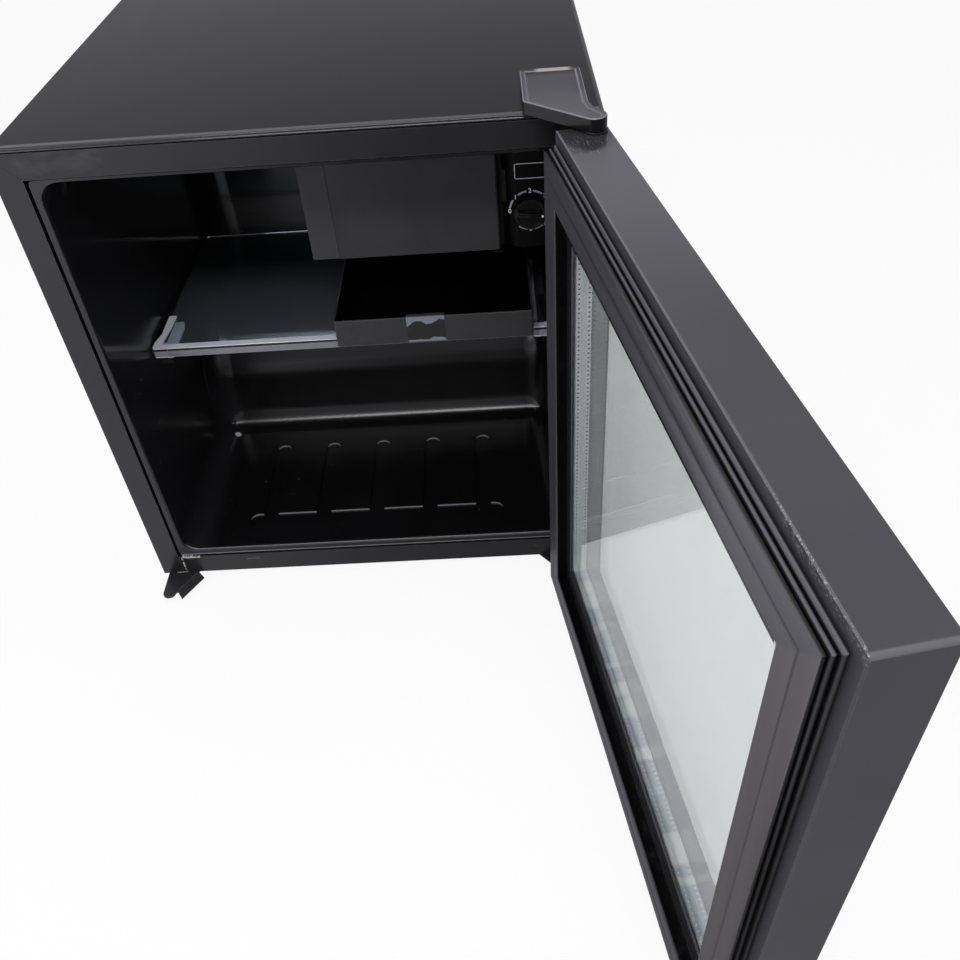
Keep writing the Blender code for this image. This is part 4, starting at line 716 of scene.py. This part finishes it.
finishes = {
    "paint": make_paint(),
    "top": make_top(),
    "liner": make_liner(),
    "door": make_door_shell(),
    "gasket": make_gasket(),
    "bead": make_bead(),
    "door_glass": make_glass("door_glass", 0.945, (0.885, 0.899, 0.899), on_door=True, ior=1.22),
    "spacer": make_spacer(),
    "shelf_glass": make_glass("shelf_glass", 0.955, (0.76, 0.84, 0.92), (0.42, 0.48, 0.55)),
    "trim": make_trim(),
    "clip": make_clip(),
    "tray": make_tray(),
    "guide": make_guide(),
    "flap": make_flap(),
    "grip": coated("grip_plastic", cool(0.023), cool(0.029), 0.55, 0.0005, 0.00004, wear=0.3).material,
    "housing": coated(
        "control_plastic", cool(0.0008), cool(0.0014), 0.34, 0.0006, 0.000035,
        wear=0.1, specular_ior_level=0.18,
    ).material,
    "knob": coated(
        "knob_plastic", cool(0.0025), cool(0.0035), 0.22, 0.0008, 0.000012,
        wear=0.3, specular_ior_level=0.35,
    ).material,
    "cover": make_cover(),
    "box_frame": coated(
        "box_frame_plastic", cool(0.0008), cool(0.0014), 0.45, 0.0006, 0.000035, specular_ior_level=0.15,
    ).material,
    "pad": make_rubber("pad_foam", grey(0.006), grey(0.009), 0.7),
    "rubber": make_rubber("black_rubber", grey(0.012), grey(0.020), 0.6),
    "bush": coated("bush_plastic", cool(0.008), cool(0.012), 0.4, 0.0008, 0.00002, on_door=True).material,
    "bracket": coated("bracket_paint", cool(0.010), cool(0.015), 0.34, 0.0012, 0.00004, wear=0.9).material,
    "steel": make_metal("zinc_steel", (0.50, 0.50, 0.49), (0.62, 0.62, 0.61), 0.30, (1, 1, 1)),
    "arm": make_metal("hinge_steel", (0.12, 0.12, 0.125), (0.18, 0.18, 0.185), 0.38, (0.2, 1, 1)),
    "galvanised": make_galvanised(),
    "foam": make_foam(),
    "enamel": coated(
        "compressor_enamel", grey(0.007), grey(0.011), 0.26, 0.0022, 0.00008, wear=0.4,
    ).material,
    "copper": make_metal("copper_pipe", (0.62, 0.28, 0.16), (0.78, 0.40, 0.24), 0.28, (1, 1, 1)),
    "bay_plastic": coated("bay_plastic", grey(0.016), grey(0.024), 0.45, 0.0007, 0.00004, wear=0.2).material,
    "aluminium": make_frost_metal(),
    "foot": make_foot(),
    "tape": make_tape(),
    "stroke_ink": make_ink("stroke_ink", (0.36, 0.36, 0.42)),
    "digit_ink": make_ink("digit_ink", (0.80, 0.80, 0.86)),
    "dot_ink": make_ink("dot_ink", (0.85, 0.85, 0.86)),
}

node_finish = {
    "outer_wrap": "paint", "bottom_front_rail": "paint", "top_panel": "top", "inner_liner": "liner",
    "door_frame": "door", "door_gasket": "gasket", "door_glazing_bead": "bead",
    "door_glass_inner": "door_glass", "door_glass_outer": "door_glass", "door_spacer": "spacer",
    "door_top_bush": "bush", "door_bottom_bush": "bush", "shelf_glass": "shelf_glass",
    "shelf_front_trim": "trim", "shelf_clip_left": "clip", "shelf_clip_right": "clip",
    "drip_tray": "tray", "freezer_flap": "flap", "freezer_flap_grip": "grip",
    "freezer_front_frame": "box_frame", "freezer_hinge_pin": "steel", "evaporator": "aluminium",
    "thermostat_housing": "housing", "thermostat_body": "steel", "thermostat_knob": "knob",
    "top_hinge_cover": "cover", "hinge_pad": "pad", "top_hinge_plate": "arm", "top_hinge_pin": "steel",
    "hinge_screw_1": "steel", "hinge_screw_2": "steel", "left_foot_bracket": "bracket",
    "lower_hinge_bracket": "bracket", "lower_hinge_pin": "steel", "front_foot_left": "foot",
    "front_foot_right": "foot", "rear_foot_left": "bay_plastic", "rear_foot_right": "bay_plastic",
    "back_panel": "galvanised", "base_pan": "galvanised", "machine_bay_panel": "galvanised",
    "compressor_plate": "bracket", "foam_insulation": "foam", "compressor_shell_lower": "enamel",
    "compressor_shell_upper": "enamel", "compressor_mount_1": "rubber", "compressor_mount_2": "rubber",
    "compressor_mount_3": "rubber", "compressor_mount_4": "rubber", "relay_cover": "bay_plastic",
    "evaporation_tray": "bay_plastic", "suction_pipe": "copper", "discharge_pipe": "copper",
    "filter_drier": "copper", "cord_gland": "rubber", "gland_bracket": "bracket",
}


# Modelling.

def alone(piece):
    """Selects this piece and nothing else."""
    bpy.ops.object.select_all(action="DESELECT")
    piece.select_set(True)
    bpy.context.view_layer.objects.active = piece


def start(adder, name, **options):
    """Adds a primitive and opens it in edit mode, with nothing on it selected."""
    bpy.ops.object.select_all(action="DESELECT")
    adder(**options)
    piece = bpy.context.active_object
    piece.name = name
    bpy.ops.object.mode_set(mode="EDIT")
    bpy.ops.mesh.select_all(action="DESELECT")
    return piece


def choose(piece, kind, test):
    """Selects the faces or edges whose middle, and normal or direction, pass the test."""
    bpy.ops.mesh.select_mode(type=kind)
    bpy.ops.mesh.select_all(action="DESELECT")
    shape = bmesh.from_edit_mesh(piece.data)
    if kind == "FACE":
        for face in shape.faces:
            face.select_set(test(face.calc_center_median(), face.normal))
    else:
        for edge in shape.edges:
            first, second = (end.co for end in edge.verts)
            edge.select_set(test((first + second) / 2, (second - first).normalized()))
    shape.select_flush_mode()
    bmesh.update_edit_mesh(piece.data)


def modified(piece, kind, **settings):
    """Adds a modifier and applies it."""
    alone(piece)
    made = piece.modifiers.new(kind.lower(), kind)
    for key, value in settings.items():
        setattr(made, key, value)
    bpy.ops.object.modifier_apply(modifier=made.name)


def fix_size(piece, size=None):
    """Puts the piece's place and turn, and its size where given, in its mesh, still in edit mode."""
    bpy.ops.object.mode_set(mode="OBJECT")
    if size:
        piece.scale = size
    alone(piece)
    bpy.ops.object.transform_apply(location=True, rotation=True, scale=True)
    bpy.ops.object.mode_set(mode="EDIT")


def link_copy(name, mesh):
    """A new piece with its own copy of this mesh."""
    piece = bpy.data.objects.new(name, mesh.copy())
    bpy.context.scene.collection.objects.link(piece)
    return piece


def settle(piece, body, finish, angle=35):
    """Puts the piece's place in its mesh, shades it, finishes it and lets it ride on its body."""
    if bpy.context.object and bpy.context.object.mode == "EDIT":
        bpy.ops.object.mode_set(mode="OBJECT")
    alone(piece)
    bpy.ops.object.transform_apply(location=True, rotation=True, scale=True)
    piece.data.transform(Matrix.Translation(corner))
    bpy.ops.object.shade_smooth_by_angle(angle=math.radians(angle), keep_sharp_edges=False)
    piece.data.materials.clear()
    piece.data.materials.append(finishes[finish])
    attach(piece, body)


def round_door_corners(piece):
    """Rounds the four outer corners of the door's frame."""
    overhang, door_foot, reach = 0.0003, 0.0032, 0.0020
    opened = Matrix.Translation(hinge) @ Matrix.Rotation(door_open, 4, "Z")
    closed = (opened @ Matrix.Translation(corner - hinge)).inverted()

    def outer(middle, along):
        at = closed @ middle
        side = min(abs(at.x + overhang), abs(at.x - body_width - overhang))
        end = min(abs(at.z - door_foot), abs(at.z - body_height))
        return side < reach and end < reach and abs((closed.to_3x3() @ along).y) > 0.7

    choose(piece, "EDGE", outer)
    bpy.ops.mesh.bevel(offset=0.0036, segments=5, affect="EDGES", clamp_overlap=True)


def refine(node, bevel, segments, angle, bevel_angle=35):
    """Makes a smooth-shaded copy of a solid, with its sharp edges eased, that stands for the solid."""
    source = frame["nodes"][node]
    piece = link_copy(node + "_piece", source.data)
    alone(piece)
    bpy.ops.object.mode_set(mode="EDIT")
    bpy.ops.mesh.select_all(action="SELECT")
    bpy.ops.mesh.customdata_custom_splitnormals_clear()
    bpy.ops.mesh.remove_doubles(threshold=0.00001)
    if bevel:
        bpy.ops.mesh.dissolve_limited(angle_limit=math.radians(0.6), delimit={"NORMAL"})
    if node == "door_frame":
        round_door_corners(piece)
    bpy.ops.object.mode_set(mode="OBJECT")
    if bevel:
        modified(
            piece, "BEVEL", width=bevel, segments=segments, limit_method="ANGLE",
            angle_limit=math.radians(bevel_angle), use_clamp_overlap=True, harden_normals=False,
        )
    alone(piece)
    bpy.ops.object.shade_smooth_by_angle(angle=math.radians(angle), keep_sharp_edges=False)
    if bevel:
        modified(piece, "WEIGHTED_NORMAL", mode="FACE_AREA", weight=50, keep_sharp=True)
    piece.data.materials.clear()
    piece.data.materials.append(finishes[node_finish[node]])
    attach(piece, source["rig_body"])
    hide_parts(node)


for node, finish in node_finish.items():
    frame["nodes"][node].data.materials.clear()
    frame["nodes"][node].data.materials.append(finishes[finish])

# For each node: the width of its eased edges, the steps across them, the angle up to which it is
# shaded smooth and, where it isn't 35 degrees, the angle from which an edge is eased.
refinements = {
    "outer_wrap": (0.0, 2, 40), "top_panel": (0.0006, 2, 40), "bottom_front_rail": (0.0003, 2, 40),
    "inner_liner": (0.0004, 3, 38, 52), "drip_tray": (0.0004, 2, 40), "freezer_flap": (0.0005, 2, 40),
    "freezer_flap_grip": (0.0004, 2, 40), "freezer_front_frame": (0.0004, 2, 40),
    "thermostat_housing": (0.0006, 2, 40), "thermostat_knob": (0.0005, 3, 40),
    "shelf_glass": (0.0006, 2, 40), "shelf_front_trim": (0.0002, 2, 40),
    "shelf_clip_left": (0.0004, 2, 40), "shelf_clip_right": (0.0004, 2, 40),
    "top_hinge_cover": (0.0006, 3, 40, 15), "door_frame": (0.0006, 3, 45), "door_gasket": (0.0, 2, 50),
    "door_glazing_bead": (0.0002, 2, 40), "door_top_bush": (0.0003, 2, 40),
    "door_bottom_bush": (0.0003, 2, 40), "left_foot_bracket": (0.0003, 2, 40),
    "lower_hinge_bracket": (0.0003, 2, 40), "lower_hinge_pin": (0.0, 2, 40),
    "top_hinge_pin": (0.0, 2, 40), "hinge_screw_1": (0.0, 2, 40), "hinge_screw_2": (0.0, 2, 40),
    "front_foot_left": (0.0003, 2, 40), "front_foot_right": (0.0003, 2, 40),
    "rear_foot_left": (0.0005, 2, 40), "rear_foot_right": (0.0005, 2, 40),
    "compressor_shell_lower": (0.0, 2, 40), "compressor_shell_upper": (0.0, 2, 50),
    "compressor_mount_1": (0.0, 2, 50), "compressor_mount_2": (0.0, 2, 50),
    "compressor_mount_3": (0.0, 2, 50), "compressor_mount_4": (0.0, 2, 50),
    "suction_pipe": (0.0, 2, 50), "discharge_pipe": (0.0, 2, 50), "filter_drier": (0.0, 2, 40),
    "evaporation_tray": (0.0006, 2, 40), "cord_gland": (0.0, 2, 40), "evaporator": (0.0, 2, 40),
    "freezer_hinge_pin": (0.0, 2, 40), "relay_cover": (0.0005, 2, 40),
}
for node, numbers in refinements.items():
    refine(node, *numbers)


upright = (math.radians(90), 0, 0)


def add_label_frame():
    """The plain outline printed round the label field above the dial."""
    left, right, low, high = 0.4022, 0.4296, 0.3855, 0.3995
    middle = ((left + right) / 2, dial_face - 0.00002, (low + high) / 2)
    piece = start(
        bpy.ops.mesh.primitive_plane_add, "label_outline", size=1.0, location=middle, rotation=upright,
    )
    fix_size(piece, (right - left, high - low, 1.0))
    bpy.ops.mesh.select_all(action="SELECT")
    bpy.ops.mesh.bevel(offset=0.0018, segments=5, affect="VERTICES")
    bpy.ops.mesh.select_mode(type="FACE")
    bpy.ops.mesh.select_all(action="SELECT")
    bpy.ops.mesh.inset(thickness=0.00055, depth=0.0)
    bpy.ops.mesh.delete(type="FACE")
    bpy.ops.object.mode_set(mode="OBJECT")
    modified(piece, "SOLIDIFY", thickness=0.00012, offset=0.0)
    settle(piece, "cabinet", "digit_ink")


def add_dial_marks():
    """Numbers 0 to 6 round the knob, with a curved stroke after each."""
    ring = 0.0184
    first, step, gap, stroke = math.radians(180), math.radians(45), math.radians(12), math.radians(20.281)
    centre = Vector((0.4154, dial_face - 0.00006, 0.3556))
    for number in range(7):
        turn = first - step * number
        at = centre + Vector((math.cos(turn), 0, math.sin(turn))) * ring
        bpy.ops.object.select_all(action="DESELECT")
        bpy.ops.object.text_add(location=at, rotation=upright)
        text = bpy.context.active_object
        text.name = f"dial_number_{number}"
        text.data.body = str(number)
        text.data.size = 0.0060
        text.data.extrude = 0.00005
        text.data.offset = 0.00003
        text.data.align_x = "CENTER"
        text.data.align_y = "CENTER"
        text.data.resolution_u = 3
        bpy.ops.object.convert(target="MESH")
        settle(bpy.context.active_object, "cabinet", "digit_ink")
    for number in range(7):
        begin = first - step * number - gap
        here = centre + Vector((math.cos(begin), 0, math.sin(begin))) * ring
        onward = Vector((math.sin(begin), 0, -math.cos(begin)))
        piece = start(
            bpy.ops.mesh.primitive_plane_add, f"dial_stroke_{number}", size=0.0017, location=here,
            rotation=(math.radians(90), -begin, 0),
        )
        fix_size(piece)
        choose(piece, "EDGE", lambda middle, along: (middle - here).dot(onward) > 0.0004)
        bpy.ops.mesh.spin(steps=10, angle=stroke, center=centre, axis=(0, -1, 0))
        bpy.ops.object.mode_set(mode="OBJECT")
        modified(piece, "SOLIDIFY", thickness=0.00010, offset=0.0)
        settle(piece, "cabinet", "stroke_ink")


def add_knob_dot():
    """The white mark at the end of the knob's bar."""
    turn = math.radians(6.0)
    reach = 0.0108
    at = (dial_x + reach * math.cos(turn), dial_face - 0.0094, dial_z - reach * math.sin(turn))
    piece = start(
        bpy.ops.mesh.primitive_cylinder_add, "knob_dot", vertices=20, radius=0.00105, depth=0.0003,
        location=at, rotation=upright,
    )
    choose(piece, "EDGE", lambda middle, along: middle.z > 0.0001)
    bpy.ops.mesh.bevel(offset=0.0001, segments=2)
    settle(piece, "thermostat_knob", "dot_ink")


def add_tape():
    """Clear tape over the drip tray's front lip, left from transport."""
    left, right = 0.2932, 0.3298
    low, high = tray_low + 0.0010, tray_high + 0.00012
    piece = start(
        bpy.ops.mesh.primitive_grid_add, "tray_tape", x_subdivisions=12, y_subdivisions=10, size=1.0,
        location=((left + right) / 2, tray_front - 0.00018, (low + high) / 2), rotation=upright,
    )
    fix_size(piece, (right - left, high - low, 1.0))
    choose(piece, "EDGE", lambda middle, along: middle.z > high - 0.00001)
    for y, z in ((0.0006, 0.0002), (0.0014, 0.0000), (0.0034, -0.0006), (0.0040, -0.0018)):
        bpy.ops.mesh.extrude_region_move(TRANSFORM_OT_translate={"value": (0, y, z)})
    bpy.ops.object.mode_set(mode="OBJECT")
    modified(piece, "SOLIDIFY", thickness=0.00008, offset=1.0)
    settle(piece, "drip_tray", "tape", angle=60)


def add_tray_guide():
    """The low strip along the shelf beside the drip tray, turned up at its rear end."""
    left, right, front, back, low, high = 0.4148, 0.4197, 0.0985, guide_back, 0.2340, 0.2352
    piece = start(
        bpy.ops.mesh.primitive_cube_add, "tray_guide", size=1.0,
        location=((left + right) / 2, (front + back) / 2, (low + high) / 2),
        scale=(right - left, back - front, high - low),
    )
    fix_size(piece)
    choose(piece, "FACE", lambda middle, normal: normal.y > 0.9)
    bpy.ops.mesh.extrude_region_move(TRANSFORM_OT_translate={"value": (0, 0.0012, 0)})
    choose(piece, "FACE", lambda middle, normal: normal.z > 0.9 and middle.y > back)
    bpy.ops.mesh.extrude_region_move(TRANSFORM_OT_translate={"value": (0, 0, 0.0014)})
    bpy.ops.mesh.select_all(action="SELECT")
    bpy.ops.mesh.bevel(offset=0.00025, segments=2, affect="EDGES")
    settle(piece, "shelf", "guide", angle=45)


def make_screw():
    """A pan-head screw with a cross recess, at the origin, facing up."""
    piece = start(
        bpy.ops.mesh.primitive_cylinder_add, "screw_pattern", vertices=28, radius=0.0038, depth=0.0017,
        location=(0, 0, 0.00085),
    )
    choose(piece, "FACE", lambda middle, normal: normal.z > 0.9)
    bpy.ops.mesh.bevel(offset=0.0009, segments=4)
    bpy.ops.object.mode_set(mode="OBJECT")
    for turn in (0, 90):
        cutter = start(
            bpy.ops.mesh.primitive_cube_add, "cross_cutter", size=1.0, location=(0, 0, 0.0019),
            rotation=(0, 0, math.radians(turn)), scale=(0.0042, 0.0009, 0.0022),
        )
        choose(cutter, "FACE", lambda middle, normal: normal.z < -0.9)
        bpy.ops.transform.resize(value=(0.4, 0.4, 1.0))
        bpy.ops.object.mode_set(mode="OBJECT")
        modified(piece, "BOOLEAN", operation="DIFFERENCE", solver="EXACT", object=cutter)
        bpy.data.objects.remove(cutter)
    return piece


def add_screws():
    """Screws that hold the back panel, the left foot's bracket and the lower hinge bracket."""
    pattern = make_screw()
    back, inset = body_depth - 0.0006, 0.020
    places = []
    for x in (inset, body_width / 2, body_width - inset):
        places.append(((x, back, body_height - inset), "back"))
    for x in (inset, body_width - inset):
        for height in (0.300, 0.150):
            places.append(((x, back, height), "back"))
    for x in (0.0150, 0.0350, body_width - 0.0402, body_width - 0.0150):
        places.append(((x, 0.022, -0.0023), "under"))
    for number, (place, way) in enumerate(places):
        piece = link_copy(f"screw_{number + 1}", pattern.data)
        turn = Euler((math.radians(-90 if way == "back" else 180), 0, 0)).to_matrix().to_4x4()
        spin = Matrix.Rotation(number * 0.7, 4, "Z")
        piece.data.transform(Matrix.Translation(place) @ turn @ spin)
        settle(piece, "cabinet", "steel")
    bpy.data.objects.remove(pattern)


add_label_frame()
add_dial_marks()
add_knob_dot()
add_tape()
add_tray_guide()
add_screws()


# Stage, light and camera.

room_tint = (0.99, 0.97, 1.06)


def make_floor():
    """A plain pale floor: white to the camera and through glass, dimmer in gloss, with a soft shadow."""
    bpy.ops.object.select_all(action="DESELECT")
    bpy.ops.mesh.primitive_plane_add(size=14.0, location=(0, 0, -0.0002))
    floor = bpy.context.active_object
    floor.name = "studio_floor"
    material = bpy.data.materials.new("studio_floor")
    material.use_nodes = True
    made = Nodes(material.node_tree)
    ray = made.node("LightPath").outputs
    seen = Value(made, ray["Is Camera Ray"])
    glass = Value(made, ray["Is Transmission Ray"])
    gloss = Value(made, ray["Is Glossy Ray"]) * (1.0 - glass)
    split = made.node("SeparateXYZ", {}, {0: made.node("TexCoord").outputs["Object"]}).outputs
    near = Value(made, split[1]).ramp(-0.60, 0.0)
    left = (Value(made, split[0]) - near * 0.12).ramp(0.0, -0.85)
    strength = seen * 1.03 + glass * 1.04 + gloss * (0.12 + near * 0.20 + left * 1.30)
    plain = made.node("BsdfDiffuse", {}, {"Color": grey(0.88)})
    tint = made.mix(gloss, grey(1.0), room_tint)
    glow = made.node("Emission", {}, {"Color": tint, "Strength": strength})
    share = seen.most(gloss).most(glass) * 0.86
    mixed = made.node("MixShader", {}, {0: share, 1: plain.outputs[0], 2: glow.outputs[0]})
    made.node("OutputMaterial", {}, {"Surface": mixed.outputs[0]})
    floor.data.materials.append(material)


def make_world():
    """The room: white to the camera and through glass, dim on the object, a little lighter in its gloss."""
    world = bpy.data.worlds.new("studio")
    bpy.context.scene.world = world
    world.use_nodes = True
    made = Nodes(world.node_tree)
    ray = made.node("LightPath").outputs
    split = made.node("SeparateXYZ", {}, {0: made.node("TexCoord").outputs["Generated"]}).outputs
    left = Value(made, split[0]).ramp(0.3, -0.9)
    glass = Value(made, ray["Is Transmission Ray"])
    gloss = Value(made, ray["Is Glossy Ray"]) * (1.0 - glass)
    level = made.mix_value(gloss, 0.38, 0.50 + left * 0.15)
    seen = Value(made, ray["Is Camera Ray"]).most(glass)
    level = made.mix_value(seen, level, 1.0)
    tint = made.mix(gloss, grey(1.0), room_tint)
    back = made.node("Background", {}, {"Color": tint, "Strength": level})
    made.node("OutputWorld", {}, {"Surface": back.outputs[0]})


def add_light(name, place, aim, size, power):
    """A flat lamp of this width and height, turned towards its aim."""
    data = bpy.data.lights.new(name, "AREA")
    data.shape = "RECTANGLE"
    data.size, data.size_y = size
    data.energy = power
    lamp = bpy.data.objects.new(name, data)
    bpy.context.scene.collection.objects.link(lamp)
    lamp.location = place
    lamp.rotation_euler = (Vector(aim) - Vector(place)).to_track_quat("-Z", "Y").to_euler()


def make_camera():
    """The view of the photograph."""
    data = bpy.data.cameras.new("photo_camera")
    data.sensor_fit = "HORIZONTAL"
    data.sensor_width = 36.0
    data.lens = camera_lens
    data.clip_start, data.clip_end = 0.02, 60.0
    camera = bpy.data.objects.new("photo_camera", data)
    bpy.context.scene.collection.objects.link(camera)
    camera.location = camera_place
    camera.rotation_euler = camera_turn
    bpy.context.scene.camera = camera


make_floor()
make_world()
add_light("overhead", (-0.3, 0.2, 2.4), (0.0, 0.0, 0.2), (1.6, 1.6), 9.0)
add_light("front_strip", (0.0, -1.5, 2.0), (0.0, 0.0, 0.25), (1.6, 0.30), 22.0)
add_light("front_left", (-1.6, -1.7, 1.3), (0.0, 0.1, 0.25), (1.2, 1.2), 10.0)
make_camera()
bpy.context.scene.view_settings.view_transform = "Standard"
